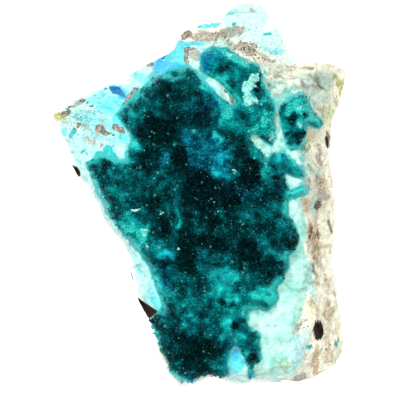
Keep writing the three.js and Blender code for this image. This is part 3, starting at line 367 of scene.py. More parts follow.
# The stains of rock and chrysocolla.
STAINS = {
    "cyan": (
        (1.2, 28.7, 2.2, 0.38, 10, 1.1), (-4.3, 23.4, 1.7, 3.1, -28, 1.2),
        (-2.9, 25.3, 1.4, 1, 1.1), (-15.7, 15.4, 3.4, 2.4, -15, 0.58), (-18.5, 13.3, 2.1, 1.5, 0.4),
        (-8.7, 19, 1.4, 1.4, 20, 0.95), (-13.7, 13, 1.2, 2.4, -20, 0.95),
        (-12.8, 9.7, 1.7, 0.86, 0.6), (-0.7, 25.7, 2.1, 0.68, 0.9),
        (-7.9, -18, 0.68, 1.7, 25, 0.55), (-7.2, -19, 0.86, 1.4, 0.5),
        (-14, 17.8, 2.4, 0.86, -20, 0.8), (-10.3, 19.8, 2.4, 0.86, -25, 0.6),
        (0.5, 19.2, 1.2, 0.68, -50, 0.95), (1.9, 17.8, 0.68, 1, 40, 0.8),
        (6.3, -28.2, 1.9, 2.6, 1.1), (12, 9.2, 0.86, 1, 0.8), (19.2, 18.8, 1.7, 0.68, 0.3),
        (-18, 16.4, 2.1, 0.86, 20, 0.6), (12, 24.6, 2.7, 0.68, -15, 0.45),
        (-23.4, 10.6, 0.68, 0.86, 0.6), (5.1, 31.1, 1.4, 0.68, 20, 0.5),
        (-10.3, -12.7, 0.86, 1.7, 25, 0.45), (5, -30.3, 0.51, 1.4, 0.6),
    ),
    "sky": (
        (-5.6, 21.7, 2.6, 1.1, 1.3), (-7.2, 22.7, 1, 0.68, 30, 0.8), (6.1, -27.2, 0.68, 1.4, 0.75),
        (-6.8, -20.5, 0.44, 0.86, 0.7), (-13.3, 16.8, 0.86, 0.68, 0.7),
        (-5.1, 22.9, 0.68, 0.86, 0.4),
    ),
    "deep_blue": (
        (-14.3, 17.7, 1.6, 0.58, -20, 1.5), (-6.2, 23.3, 0.86, 0.27, 20, 0.7),
        (-12.8, 17.1, 0.51, 0.43, -30, 0.8),
    ),
    "turquoise": (
        (-15.7, 7.2, 0.77, 1.4, 1.3), (-21.7, 10.4, 0.94, 0.44, 45, 1.5),
        (-16.8, 6.5, 1.2, 0.6, 1.2), (-14.9, 5.8, 0.77, 1.4, 20, 1.3),
        (11.5, 27.2, 0.86, 0.41, -10, 1), (6, 28.9, 0.68, 0.34, 0.8), (8.9, 25.3, 0.68, 0.27, 0.6),
        (5, 27.4, 0.68, 0.34, 0.6), (18.5, -25.8, 0.51, 0.51, 0.9), (23.4, -25.5, 0.34, 0.86, 1.1),
        (17.4, -28.4, 0.43, 0.51, 0.45), (20.9, -26.7, 0.21, 0.68, 0.8),
        (18.5, -24.6, 0.34, 0.34, 0.7), (16.8, 0.2, 2.2, 1, 25, 1.3),
        (19.3, 12.7, 1.2, 0.68, -40, 0.9), (-16.4, 18.1, 0.51, 0.34, 0.8),
        (-20.3, 7.5, 0.41, 0.41, 0.7), (-22.1, 7.4, 0.34, 0.34, 0.6), (-19.7, 6.8, 0.27, 0.51, 0.5),
        (-13, 5.3, 0.51, 0.43, 0.7),
    ),
    "brown": (
        (1, 27, 3.1, 1, 2, 1), (5, 27.5, 2.9, 1.1, 12, 1), (-1, 23.8, 0.94, 1.2, 1),
        (-19.8, 11.6, 1, 0.51, -20, 0.7), (-20.9, 15.4, 1.7, 0.44, 32, 0.8),
        (-22.7, 13.7, 1, 0.68, 0.9), (8, 24.5, 2.1, 1, -15, 1), (5.5, 24.9, 1.4, 0.51, 0.55),
        (14.4, 21.5, 2.7, 0.86, 0.5), (12.8, 16.6, 0.77, 0.41, 0.8), (20.2, -2.1, 0.68, 1.2, 0.9),
        (20, -11.6, 0.51, 1.4, 0.6), (20.9, -0.3, 1.2, 1.4, 0.6), (17.3, -31.3, 1.5, 0.77, 18, 0.9),
        (16.8, -22.6, 1.9, 0.51, 40, 0.75), (20.3, 5.8, 0.51, 1.4, 10, 0.8),
        (20.2, 2.1, 1.4, 1.4, 0.45), (18.3, 2.1, 0.68, 0.86, 0.7), (18.5, 7.5, 1, 2.4, 0.3),
        (20.5, 9.1, 0.68, 1.4, 0.3), (-18.5, 9.2, 1.4, 0.86, 0.6), (-16.9, 7.9, 0.51, 0.86, 0.5),
        (19.7, 19.7, 0.58, 0.58, 0.9), (18.5, -12.7, 0.34, 0.68, 10, 0.6),
        (9.9, 9.7, 0.51, 0.34, -30, 0.6), (9.1, 31.5, 1, 0.51, -20, 0.7),
        (11.3, 23.3, 1.7, 0.68, -20, 0.6), (13, 20.5, 1.5, 0.86, -30, 0.7),
        (18, 21.4, 1.5, 0.34, 0.7), (19.8, 18.6, 1.7, 0.41, -10, 0.5), (23.6, 16.4, 0.34, 1, 0.5),
        (20.7, 7.2, 0.43, 0.86, 0.6), (20.9, 13.3, 0.68, 0.51, 0.4), (21.9, -18.5, 0.51, 0.68, 0.6),
        (21.5, -15.7, 0.86, 2.4, 0.35),
    ),
    "umber": (
        (-2.4, 23.4, 0.44, 1.4, 4, 1.3), (-1.7, 24.6, 0.86, 0.26, 0.9),
        (-16.9, 10.9, 1.3, 0.62, -48, 1.3), (-13.9, 11.1, 1.3, 0.58, -32, 1.3),
        (-12, 16.4, 2.1, 0.62, 49, 1.3), (-11.1, 17.6, 0.68, 0.68, 1), (-20.7, 11.6, 0.44, 0.44, 1),
        (-15.6, 10.3, 0.44, 0.27, 1.2), (-14.7, 9.9, 0.34, 0.27, 1),
        (-20.2, 16.1, 0.51, 0.34, 20, 1), (-22.9, 13.7, 0.86, 0.62, 20, 1.3),
        (-22.2, 14.7, 0.68, 0.24, 30, 1), (-8.4, 22.1, 0.68, 0.27, 35, 1.2),
        (-10.6, 21, 0.51, 0.21, 10, 0.9), (-18.6, 15.2, 0.44, 0.22, -30, 0.9),
        (-19.3, 15.9, 0.24, 0.21, 0.8), (5.3, 16.1, 0.44, 1, 40, 1),
        (4.3, 17.4, 0.34, 0.51, 30, 0.6), (21.7, 9.7, 0.34, 1.2, 8, 1.2),
        (22.1, 8.2, 0.34, 0.68, 15, 1.1), (-2.2, 27.2, 0.79, 0.65, 20, 1.3),
        (19.8, -6.5, 0.34, 0.68, 10, 0.8), (18.6, -7.2, 0.27, 0.34, 0.9),
        (19.5, -10.8, 0.27, 0.51, 0.8), (20.2, -2.1, 0.51, 0.86, 0.9),
    ),
    "rust": (
        (19.2, -6.8, 1.2, 2.1, -8, 1.1), (19.8, -9.9, 0.68, 2.4, -12, 1), (18, -2.1, 0.86, 1.2, 1),
        (20.9, 1.7, 1.2, 1.4, 0.7), (19.8, -28.6, 0.62, 3.1, 6, 1.2),
        (22.2, -10.6, 0.34, 1.7, 5, 0.9), (21.7, -14.5, 0.38, 1.9, 25, 0.8),
        (19.2, -19.2, 1, 1.7, 20, 0.7), (21.9, -20.2, 1, 2.1, 0.75), (23.4, 15, 0.51, 1.9, 15, 0.7),
        (22.1, -27, 0.86, 2.1, 0.6), (7, 27.9, 0.27, 1, 40, 1), (-23.4, 13.2, 0.51, 0.51, 0.6),
        (18.6, 9.9, 0.51, 1, 0.8),
    ),
    "olive": (
        (24.6, 17.4, 0.86, 1.2, 1.1), (-23.9, 13.3, 1.2, 0.86, 1.2), (-22.9, 12.3, 1, 0.68, 0.6),
        (23.9, 18.5, 0.68, 1, 1), (14.2, -29.2, 1.5, 1.4, 0.5), (23.4, 20.2, 0.68, 0.86, 0.7),
        (20.5, -7, 2.1, 3.8, 0.3), (-22.9, 7.9, 1, 2.1, 0.3), (21.7, 13.5, 1.5, 2.7, 0.45),
        (18.6, 9.2, 1.4, 2.4, 0.5), (-12.8, -8.9, 0.86, 1.7, 25, 0.3),
        (-11.8, -14.7, 0.68, 2.1, 20, 0.3),
    ),
    "grey_green": (
        (21.2, 19.5, 2.2, 1.9, 0.75), (20.2, 16.6, 2.2, 2.1, 0.7), (22.7, 20.2, 1, 1, 0.65),
        (18.1, 19.8, 1.4, 1.2, 0.7), (7.5, 31, 1.5, 1, 0.45), (12.8, 18.5, 2.4, 1.2, -12, 0.8),
        (19.5, -2.1, 1, 1.4, 0.7), (16.6, -23.8, 2.1, 0.86, -20, 0.3), (22.2, 15, 1.7, 2.4, 0.4),
        (16.6, 18.1, 1.5, 0.86, 0.7), (19.8, -1, 1, 1, 0.6), (12, -25, 2.1, 0.68, -15, 0.4),
        (20.2, 3.2, 1.2, 1.2, 0.6), (13, 13.3, 0.86, 2.4, 0.8), (14.9, 16.9, 1, 1.2, 0.9),
        (13.7, 15.4, 0.86, 0.86, 0.7), (18.5, 10.6, 1.2, 2.1, 0.6), (17.3, 5.8, 1.2, 1, 0.5),
        (18.6, 4.4, 1, 1.2, 0.7), (17.8, 6.2, 1, 1.7, 0.9), (13.7, 7.9, 0.86, 0.86, 0.5),
        (13.7, 21.2, 2.2, 1.4, 0.6), (-13.7, 7.5, 1, 1.2, 0.7), (-18.8, 9.2, 2.4, 1.4, -20, 0.5),
        (6.2, 25.3, 2.4, 0.51, 0.35), (10.6, 25.5, 1.7, 0.51, -20, 0.45),
        (12.1, 22.6, 1.4, 0.51, -30, 0.5), (1.4, 20.2, 0.68, 0.41, -30, 0.7),
        (20.2, 13, 1, 1.4, 0.5), (-20.5, 7.9, 1, 1.4, 0.35), (10.6, -30.4, 1.7, 1, 0.4),
    ),
    "sea": (
        (13.2, 15.4, 1.2, 1.4, 1.4), (13, 12.7, 0.68, 1.7, 0.8), (12, 18.5, 1.5, 0.68, -20, 0.6),
        (14.9, 16.9, 1.2, 1.2, 0.9), (18.1, 10.8, 0.68, 1.4, 0.7), (13.9, 8, 0.86, 0.68, 0.6),
        (17.6, 6.2, 1, 1, 0.7), (18.6, 4.4, 0.86, 0.86, 0.5), (0.9, 20.2, 0.86, 0.51, -40, 0.8),
        (7.9, 22.6, 1.2, 0.51, -20, 0.7), (11.3, 20.9, 0.68, 1, 0.5), (16.1, 18.1, 1.4, 0.51, 0.6),
        (18.5, 8.2, 0.86, 1.4, 0.6), (14.2, 9.6, 0.51, 1.4, 0.5), (11.3, 9.2, 0.51, 0.51, 0.6),
        (17.3, 2.2, 0.51, 0.86, 0.6), (14.7, -0.3, 0.68, 0.68, 0.5),
        (-11.6, 16.1, 0.51, 1.7, -35, 0.5), (-14, 5.8, 1, 0.68, 0.6), (-19.8, 14, 1, 0.51, 0.5),
        (-21, 12.8, 1, 0.51, 0.6), (12.7, 9.6, 1, 0.86, 0.6), (12.8, 15, 1, 1.7, 1),
        (13.2, 12, 0.86, 2.4, 0.8), (10.6, 8.9, 1.5, 1, -30, 0.65), (12.1, 7.7, 1.4, 0.86, 0.6),
        (2.9, 19.2, 0.86, 0.51, -30, 0.6), (14.7, 7.5, 0.86, 0.68, 0.6),
        (6.5, 15.9, 0.68, 1.7, 40, 0.5),
    ),
    "pink": (
        (14.4, 21.2, 2.7, 1, 0.5), (2.6, 27, 4.1, 0.86, 7, 0.8), (18.6, -7.5, 0.51, 3.4, 0.5),
        (22.9, -11.3, 0.43, 4.1, -6, 0.5), (19, 9.9, 0.86, 1.7, 0.5), (18, 16.8, 1.4, 0.68, 0.5),
        (10.6, 22.9, 1.7, 1, 0.5), (22.2, -21.5, 0.68, 3.4, 0.35), (4.1, 18.1, 0.68, 1.4, 40, 0.7),
        (13, 12, 0.58, 1, 0.6), (20.3, 15.4, 1, 1, 0.4), (17.1, 18.5, 1, 0.51, 0.5),
        (18.6, 11.3, 0.68, 0.86, 0.6), (-22.2, 14.4, 1, 0.34, 30, 0.6), (20.5, 2.1, 1.4, 1.4, 0.4),
    ),
    "ice": (
        (2.2, 18.3, 2.1, 0.77, -42, 1.1), (-13.7, 7, 1, 1.7, 0.9), (6.5, -31.1, 1.9, 1.5, 1.1),
        (12, -31.8, 4.4, 0.68, 0.95), (19.3, -16.8, 0.62, 2.4, 8, 1),
        (13.2, 27, 1.4, 2.7, -35, 1.1), (6.8, 26.5, 1.9, 0.68, -10, 1), (10.6, 30.8, 1.4, 2.1, 1),
        (17.4, -25.1, 1.4, 2.2, 0.7), (18.1, -23.1, 1, 1, 0.5), (15, -30.3, 2.4, 0.86, 0.8),
        (7.7, 30.1, 4.8, 3.1, 1), (11.3, 26, 4.1, 2.1, -25, 0.95), (0.9, 25.5, 3.4, 0.86, 8, 0.8),
        (14.7, 23.3, 2.4, 1.2, -10, 0.6), (-18.8, 16.1, 6.8, 1.7, 25, 0.8),
        (-8.6, 20.9, 6.8, 1.4, 25, 0.8), (-22.2, 10.1, 2.4, 4.1, 15, 0.9),
        (-18.8, 0.7, 2.7, 8.6, 22, 1), (-12.3, -11.3, 2.7, 7.7, 20, 1),
        (-9.2, -23.3, 2.1, 5.1, 12, 0.9), (-3.4, -32.7, 5.1, 1.2, 0.8),
        (8.6, -32.7, 10.3, 1.4, 0.7), (13.3, 17.4, 3.1, 1.7, 0.4), (17.1, 18.8, 3.1, 1.4, 0.4),
        (2.4, 19.5, 1.2, 0.51, -48, 0.6), (16.4, -27, 1.9, 2.7, 0.9), (10.6, 21.5, 0.68, 1.4, 0.8),
        (3.1, 25.7, 2.7, 0.68, -6, 0.8), (16.6, -3.6, 1, 2.4, 0.5), (15.7, 6.7, 1, 0.68, 0.5),
        (16.1, 2.4, 1, 0.86, 0.7), (-17.4, 8.2, 3.1, 1.4, 0.5),
    ),
    "specks": (
        (-19.2, 12, 4.4, 4.1, 1), (-14.5, 8.9, 2.1, 2.1, 0.8), (22.2, -18.1, 2.4, 12, 0.6),
        (17.1, -22.6, 2.4, 1.4, -35, 0.9), (4.3, 27, 6.8, 1.7, 8, 0.9),
        (8.6, 23.8, 3.1, 1.4, -15, 1), (19.7, 17.8, 5.1, 4.4, 0.45), (21.4, -26.7, 3.1, 4.4, 0.8),
        (20.9, 0.7, 2.4, 10.3, 0.7), (-14, -4.8, 0.9, 3.4, 25, 0.4),
        (13.3, 20.3, 4.1, 2.1, -10, 0.8), (-22.9, 13.3, 1.7, 1.4, 0.9), (6.5, 30.8, 2.1, 1, 0.5),
        (-0.9, 23.6, 1.7, 1.7, 0.6), (19.3, -7.9, 1.4, 3.4, 1.2), (8.2, 24.8, 2.4, 1.2, -15, 1.4),
        (-20.5, 13, 2.1, 1.7, 1.1), (-17.4, 9.2, 2.1, 1, 1.1), (10.6, 18.1, 3.4, 2.4, 0.4),
    ),
}
DRUSE_COLOURING = {
    "ground": 0.377, "fringe": 0.5, "tones": DRUSE_TONES, "blue": DRUSE_BLUE, "pale": DRUSE_PALE,
}
POCKET_COLOURING = {
    "ground": 0.62, "fringe": 0.15, "tones": POCKET_TONES, "blue": (), "pale": POCKET_PALE,
}

# ------------------------------------------------------------ named numbers
STAIN_REACH = 5.0  # how far down the flanks the patches reach
GLARE_WIDTH = 0.8  # how wide the rim of painted glare is
GLARE_REACH = 2.5  # how far down the rim of painted glare reaches
GLARE_RIGHT = 0.7  # how much painted glare the right side and the foot have
PIT_REACH = 3.5  # how far down the flanks the pits reach
PIT_STEEPNESS = 2.6  # depth of a pit over its half width
PIT_EDGE = 0.5  # width over which the notch and the pits' colour of painted shade set in
NOTCH_DEPTH = 2.2  # of the hole at the left edge
CRACK_FULL, CRACK_MOST = 0.3, 1.5  # depth at which a crack's mask is 1, and its most
FLANK_START = 17.0  # where the streaky right flank begins
FLANK_WIDTH = 3.0  # over which its streaks set in
STREAK_STRETCH = (2.6, 0.35, 1.1)  # how much finer the streaks are in x, y and z
RIM_PROUD = 0.2  # how far the finished rim stands outside the solid's
RING_CROWDING = 0.62  # below 1, more of a grid's rings lie near its rim
COAT_SHELLS = (4.6, 0.2)  # size and depth of the coat's shallow breaks
SHELL_FLOOR = -0.18  # the lowest of them
COAT_SUNK = 0.35  # how far the coat's rim lies below the rock's face
COAT_BEND = (2.2, 0.75)  # width of the coat's bent rim, and the power of its bend
COAT_WORN = 1.1  # how wide the coat's worn rim is
WORN_TURN = 2.0  # degrees either way over which the coat's radius is a mean
SKIRT_DEPTH = 1.2  # how far the coat's hidden skirt goes down
SKIRT_INSET = 0.04  # how far the skirt is drawn in, as a share
FILM_REACH = 1.1  # how far the crystals' cyan film spreads over the chrysocolla
FILM_FOOT = 0.4  # how far out it is whole all round the druses
FRINGE_REACH = 1.3  # how wide a druse's lighter rim is
CRUST_SINK = 0.5  # how far a druse's underside is sunk in the chrysocolla
CRUST_LIP = (0.35, 0.7)  # share of the crust's edge at the very rim, and its width
CRUST_ROUGH = 0.22  # height of the crust's grain
VELVET_SMOOTHS = 0.14  # what is taken off it where the crust is velvety
VELVET_RISE = 0.06  # how much higher the crust is where it is velvety
SLOPE_STEP = 0.12  # distance over which a druse's slope is measured
SLOPE_LEAN = 0.75  # how far crystals follow the slope of their ground
CRYSTAL_SUNK = 0.5  # share of a crystal's length below the ground
CRYSTAL_WIDTHS = (0.62, 0.85)  # least and range, of the usual width
CRYSTAL_LENGTHS = (0.75, 0.6)  # the same, of the usual length
TIP_STEEPNESS = (0.85, 0.5)  # the same, of half its width
SHOULDER_DROPS = (0.5, 1.0)  # of each second shoulder, and of those between them
CLUSTER_SIZES = (0.75, 0.5)  # how the crystals' size varies from place to place
RIM_SIZES, SMALL_RIM = (0.6, 0.4), 0.8  # how it grows from the rim, and over what width
RIM_STRADDLE = -0.05  # how far outside the crust's rim a crystal may stand
TIP_PAINTED_LIGHT = (0.0, 0.75, 1.0)  # how much painted light the foot, shoulders and tip have: darker in the shade at the foot, lighter at the tip
LATTICE_STRAY = 0.55  # how far its points may be moved, as a share of the pitch
ROW_STEP = math.sqrt(3) / 2  # distance between a triangular lattice's rows
FRINGE_SHARES = (0.45, 0.8)  # how uneven a druse's lighter rim is
SHARP_FRINGE, SHARP_FILM = 0.8, 0.7  # how much of fringe and film a sharp rim lacks
MOTTLE_RISE = (0.3, 0.25)  # lightness over which the mottle sets in, and its least share
LIGHTEST = 1.2  # the most that a druse's lightness may be
FILM_SHARES = (-1.0, 3.0)  # how uneven the film's reach is
FILM_LIMITS = (0.2, 1.3)  # its least and its most
HOLLOW_START, HOLLOW_WIDTH = 0.35, 0.9  # depth of a chip at which its painted shade sets in
CHIP_STEP = 0.6  # how far apart in height two chips may lie, as a share
SIDES = 6  # of a crystal
CRYSTAL_POINTS = 13  # those of its foot and its shoulders, and its tip
BARE_SHARE = 0.5  # share of the crystals left out where a druse is pale
VELVET_SHARE = 0.75  # share of them left out where it is velvety
PATCH_END, PATCH_FADE = 1.35, 0.85  # where a patch ends, and its soft width, in half widths
HAIR = 1e-12  # instead of nothing, where something is divided by it

# Noises by name: size in millimetres, channel, octaves and strength.
NOISES = {
    "coat_waves": (4.2, 31, 3, 0.5), "coat_edge": (1.3, 41, 3, 0.7),
    "worn_edge": (1.6, 43, 3, 0.5), "clumps": (1.7, 51, 3, 0.75),
    "streaks": (1.0, 61, 3, 0.16), "grains": (1.1, 63, 3, 0.35),
    "mottle": (2.6, 73, 2, 0.5), "fine_mottle": (0.9, 75, 2, 0.6),
    "glare_edge": (1.6, 105, 3, 0.8), "glare_foot": (1.8, 107, 3, 2.0),
    "druse_edge": (1.5, 131, 2, 0.8), "druse_fray": (0.6, 133, 2, 0.5),
}
FILM_NOISE = (1.6, 45, 2)  # size, channel and octaves
FRINGE_NOISE = (2.2, 71, 2)
CLUSTER_NOISE = (2.4, 95, 2)
STRAY_NOISES = ((2.4, 0, 1.4), (0.7, 4, 0.8))  # size, step of the channel and strength
STAIN_STRAY = (0.7, 101)  # how far the stains' ellipses stray, and their channel
TONE_STRAY = (0.8, 121)  # the same of a druse's tones
CRUST_CHANNELS = (81, 83, 85)  # of its lattice, its grain and its tints
SIDE_CHANNEL = 10  # step of the channel between two directions
CRYSTAL_CHANNELS = (91, 99, 93)  # of their lattice, of those shown and of their shapes

WHITE, GREY = (1.0, 1.0, 1.0), (0.5, 0.5, 0.5)

# ------------------------------------------------------------ the stage, in metres
LIGHT_AIM = (0.0, 0.0, 0.015)
KEY_PLACE, KEY_SIZE = (-0.28, 0.34, 0.55), 0.12
FILL_PLACES, FILL_SIZE = ((0.42, -0.08, 0.72), (-0.38, -0.34, 0.72), (0.08, 0.46, 0.78)), 0.6
FLOOR_RADIUS, FLOOR_SIDES = 6.0, 128
FLOOR_WHITE = (0.9, 0.9, 0.9)
NEAREST, FARTHEST = 0.01, 50.0  # what the camera takes in
LENS, SENSOR = 1000.0, 36.0  # millimetres
VIEW_MIDDLE, VIEW_WIDTH, VIEW_HEIGHT = (0.0, -1.026), 68.4, 14.0  # millimetres
OWN_PROPERTIES = 2  # the first of a group's properties are Blender's own


# ------------------------------------------------------------ numbers and fields
def smooth(share):
    """0 below 0, 1 above 1, and an S-shaped rise between."""
    share = np.clip(share, 0, 1)
    return share * share * (3 - 2 * share)


def beyond(place, start, width):
    """0 up to `start`, and an S-shaped rise to 1 over `width` past it."""
    return smooth((place - start) / width)


def between(least_and_range, share):
    """The least of a pair plus a share of its range."""
    return least_and_range[0] + least_and_range[1] * share


def direction(degrees):
    """The cosine and the sine of an angle."""
    angle = math.radians(degrees)
    return math.cos(angle), math.sin(angle)


def around_middle(angle, radius):
    """The points at the given angles and distances from MIDDLE."""
    return MIDDLE[0] + radius * np.cos(angle), MIDDLE[1] + radius * np.sin(angle)


def random_number(i, j, k, channel):
    """A repeatable number from 0 to 1 for each lattice cell and channel: the part after
    the point of a large multiple of a sine."""
    value = np.sin(i * 127.1 + j * 311.7 + k * 74.7 + channel * 53.3) * 43758.5453
    return value - np.floor(value)


def cloud(x, y, z, size, channel, octaves=3):
    """Smooth noise from 0 to 1: random numbers at the corners of cubes `size` across,
    blended smoothly between, with each further octave half as large and half as strong."""
    total = np.zeros_like(x, dtype=float)
    weight_sum = 0.0
    for octave in range(octaves):
        cell_size = size / 2**octave
        weight = 0.5**octave
        place = [v / cell_size for v in (x, y, z)]
        cell = [np.floor(v) for v in place]
        inner = [smooth(v - c) for v, c in zip(place, cell)]
        for corner in np.ndindex(2, 2, 2):
            share = 1.0
            for axis in range(3):
                share = share * (inner[axis] if corner[axis] else 1 - inner[axis])
            corners = [cell[axis] + corner[axis] for axis in range(3)]
            total += weight * share * random_number(*corners, channel + octave)
        weight_sum += weight
    return total / weight_sum


def sway(name, x, y, z=None):
    """One of the named noises, as a height above or below 0. It is flat unless z is given."""
    size, channel, octaves, strength = NOISES[name]
    level = cloud(x, y, 0 * x if z is None else z, size, channel, octaves)
    return strength * (level - 0.5)


def fracture(x, y, z, size, depth):
    """Broken stone: space is split into jittered cells, and within a cell the surface is
    tipped along that cell's own random direction, so flat chips meet at small steps."""
    cell = [np.floor(v / size) for v in (x, y, z)]
    nearest = np.full(np.shape(x), np.inf)
    tip = np.zeros(np.shape(x))
    for step in np.ndindex(3, 3, 3):
        i, j, k = (cell[axis] + step[axis] - 1 for axis in range(3))
        away = [
            v / size - c - random_number(i, j, k, channel)
            for v, c, channel in zip((x, y, z), (i, j, k), (1, 2, 3))
        ]
        distance = np.sqrt(away[0] ** 2 + away[1] ** 2 + away[2] ** 2)
        closer = distance < nearest
        nearest = np.where(closer, distance, nearest)
        tilt = sum(a * (random_number(i, j, k, n + 4) * 2 - 1) for n, a in enumerate(away))
        tip = np.where(closer, tilt + random_number(i, j, k, 7) * CHIP_STEP - CHIP_STEP, tip)
    return depth * tip


def swell_height(swells, x, y):
    """Sum of round bells: height times e to the minus square of distance over radius."""
    total = np.zeros(np.shape(x))
    for cx, cy, radius, height in swells:
        total += height * np.exp(-((x - cx) ** 2 + (y - cy) ** 2) / radius**2)
    return total


def line_distance(points, closed, x, y):
    """Distance from each (x, y) to the nearest piece of a line through the points."""
    least = np.full(np.shape(x), np.inf)
    ends = list(points[1:]) + ([points[0]] if closed else [])
    for (x1, y1), (x2, y2) in zip(points, ends):
        ex, ey = x2 - x1, y2 - y1
        along = np.clip(((x - x1) * ex + (y - y1) * ey) / (ex * ex + ey * ey), 0, 1)
        least = np.minimum(least, np.hypot(x - x1 - ex * along, y - y1 - ey * along))
    return least


def inside_outline(outline, x, y):
    """True where a line from (x, y) to the right crosses the outline an odd number of
    times."""
    inside = np.zeros(np.shape(x), dtype=bool)
    for (x1, y1), (x2, y2) in zip(outline, outline[1:] + outline[:1]):
        if y1 == y2:
            continue
        crosses = (y1 > y) != (y2 > y)
        inside ^= crosses & (x < x1 + (y - y1) * (x2 - x1) / (y2 - y1))
    return inside


def depth_inside(outline, x, y):
    """Distance to the outline, positive inside it and negative outside."""
    distance = line_distance(outline, True, x, y)
    return np.where(inside_outline(outline, x, y), distance, -distance)


def outline_radius(outline, angle):
    """Distance from MIDDLE to the farthest crossing of the outline in each direction."""
    ux, uy = np.cos(angle), np.sin(angle)
    radius = np.zeros(np.shape(angle))
    for (ax, ay), (bx, by) in zip(outline, outline[1:] + outline[:1]):
        px, py = ax - MIDDLE[0], ay - MIDDLE[1]
        ex, ey = bx - ax, by - ay
        across = ux * ey - uy * ex
        across = np.where(np.abs(across) < HAIR, HAIR, across)
        along = (px * uy - py * ux) / across
        reach = (px * ey - py * ex) / across
        hit = (along >= 0) & (along <= 1)
        radius = np.where(hit, np.maximum(radius, reach), radius)
    return radius


def worn_radius(outline, angle):
    """The same radius as a mean over a few degrees, so that it has no sudden steps."""
    turns = np.radians(np.linspace(-WORN_TURN, WORN_TURN, 9))
    return sum(outline_radius(outline, angle + turn) for turn in turns) / len(turns)


def strayed(x, y, reach, channel):
    """The points moved sideways by two sizes of noise, so that an ellipse read there has
    a wandering rim."""
    def shift(number):
        coarse, fine = (
            strength * (cloud(x, y, 0 * x, size, channel + number + step, 2) - 0.5)
            for size, step, strength in STRAY_NOISES
        )
        return reach * (coarse + fine)
    return x + shift(0), y + shift(SIDE_CHANNEL)


def in_ellipse(x, y, cx, cy, wide, long, turn=0):
    """Each point's two places in an ellipse, as shares of its half widths."""
    c, s = direction(turn)
    dx, dy = x - cx, y - cy
    return (dx * c + dy * s) / wide, (dy * c - dx * s) / long


def patch_shares(patches, x, y):
    """For each soft ellipse its strength, and its share at each point: full to half way
    out, and gone a third past the rim."""
    for *ellipse, strength in patches:
        out = np.hypot(*in_ellipse(x, y, *ellipse))
        yield strength, smooth((PATCH_END - out) / PATCH_FADE)


def patch_mask(patches, x, y):
    """The strongest of the patches at each point."""
    mask = np.zeros(np.shape(x))
    for strength, share in patch_shares(patches, x, y):
        mask = np.maximum(mask, strength * share)
    return mask


def patch_sum(patches, x, y):
    """All the patches at each point, added up."""
    return sum(strength * share for strength, share in patch_shares(patches, x, y))


# ------------------------------------------------------------ heights of the faces
def rock_plane(x, y):
    """The plateau, cut by the broken faces with a worn edge, plus its swells."""
    z = PLATEAU + PLATEAU_TILT[0] * x + PLATEAU_TILT[1] * y
    for faces in UPPER_BREAKS:
        cut = np.full(np.shape(x), -np.inf)
        for fx, fy, toward, slope in faces:
            dx, dy = direction(toward)
            cut = np.maximum(cut, PLATEAU - slope * ((x - fx) * dx + (y - fy) * dy))
        share = np.clip(0.5 + 0.5 * (cut - z) / EDGE_SOFTNESS, 0, 1)
        z = cut + (z - cut) * share - EDGE_SOFTNESS * share * (1 - share)
    return z + swell_height(SWELLS, x, y)


def rock_bottom(x, y):
    """Flat at 0, and rising over the undercuts."""
    z = np.zeros(np.shape(x))
    for reach, toward, slope in UNDERCUTS:
        dx, dy = direction(toward)
        z = np.maximum(z, slope * (x * dx + y * dy - reach))
    return z


def ring_of(x, y):
    """How far out (x, y) is: 0 at MIDDLE and 1 at the slab's outline."""
    angle = np.arctan2(y - MIDDLE[1], x - MIDDLE[0])
    return np.hypot(x - MIDDLE[0], y - MIDDLE[1]) / outline_radius(ROCK_OUTLINE, angle)


def chips(x, y, z):
    """Depth of all the breaks together, the large ones first."""
    large = sum(fracture(x, y, z, *scale) for scale in FRACTURES)
    fine = sum(fracture(x, y, z, *scale) for scale in FINE_FRACTURES)
    return np.minimum(large, CHIP_PROUD) + fine


def rock_height(x, y):
    """Height of the broken rock's upper face."""
    z = rock_plane(x, y)
    outward = beyond(ring_of(x, y), RIM_START, 1 - RIM_START)
    return z + chips(x, y, z) * (1 - RIM_KEPT * outward)


def crack_depth(x, y):
    """Sum of grooves with a bell-shaped section along each crack."""
    total = np.zeros(np.shape(x))
    for width, depth, points in CRACKS:
        total += depth * np.exp(-((line_distance(points, False, x, y) / width) ** 2))
    return total


def coat_height(x, y):
    """Height of the chrysocolla: the rock's plane plus the coat's thickness, with low
    waves and shallow shell-shaped breaks, bending down to the rock over its last stretch."""
    shells = np.maximum(fracture(x, y, 0 * x + 3, *COAT_SHELLS), SHELL_FLOOR)
    full = rock_plane(x, y) + COAT_THICKNESS + sway("coat_waves", x, y) + shells
    ragged = depth_inside(COAT_OUTLINE, x, y) + sway("coat_edge", x, y)
    width, power = COAT_BEND
    rock = rock_height(x, y)
    return rock - COAT_SUNK + (full - rock + COAT_SUNK) * smooth(ragged / width) ** power


def pit_depth(x, y):
    """Depth of the pits, each an ellipsoid's, and of the flat-bottomed notch."""
    deepest = np.zeros(np.shape(x))
    for pit in PITS:
        across, along = in_ellipse(x, y, *pit)
        hollow = np.sqrt(np.clip(1 - (across**2 + along**2), 0, 1))
        deepest = np.maximum(deepest, PIT_STEEPNESS * pit[2] * hollow)
    notch = NOTCH_DEPTH * smooth(depth_inside(NOTCH, x, y) / PIT_EDGE)
    return np.maximum(deepest, notch)


def druse_height(outline, lumps, x, y):
    """Height of a druse between its crystals: thin at its rim, thicker inside, and lumpy,
    with small clumps about a millimetre across."""
    depth = line_distance(outline, True, x, y)
    body = CRUST_BODY * smooth(depth / CRUST_RAMP)
    set_in = smooth(depth / LUMP_RAMP)
    lip, width = CRUST_LIP
    rim = CRUST_EDGE * (lip + (1 - lip) * smooth(depth / width))
    ground = rock_plane(x, y) + COAT_THICKNESS
    lump = np.maximum(swell_height(lumps, x, y) * set_in, -body)
    return ground + rim + body + lump + sway("clumps", x, y) * set_in


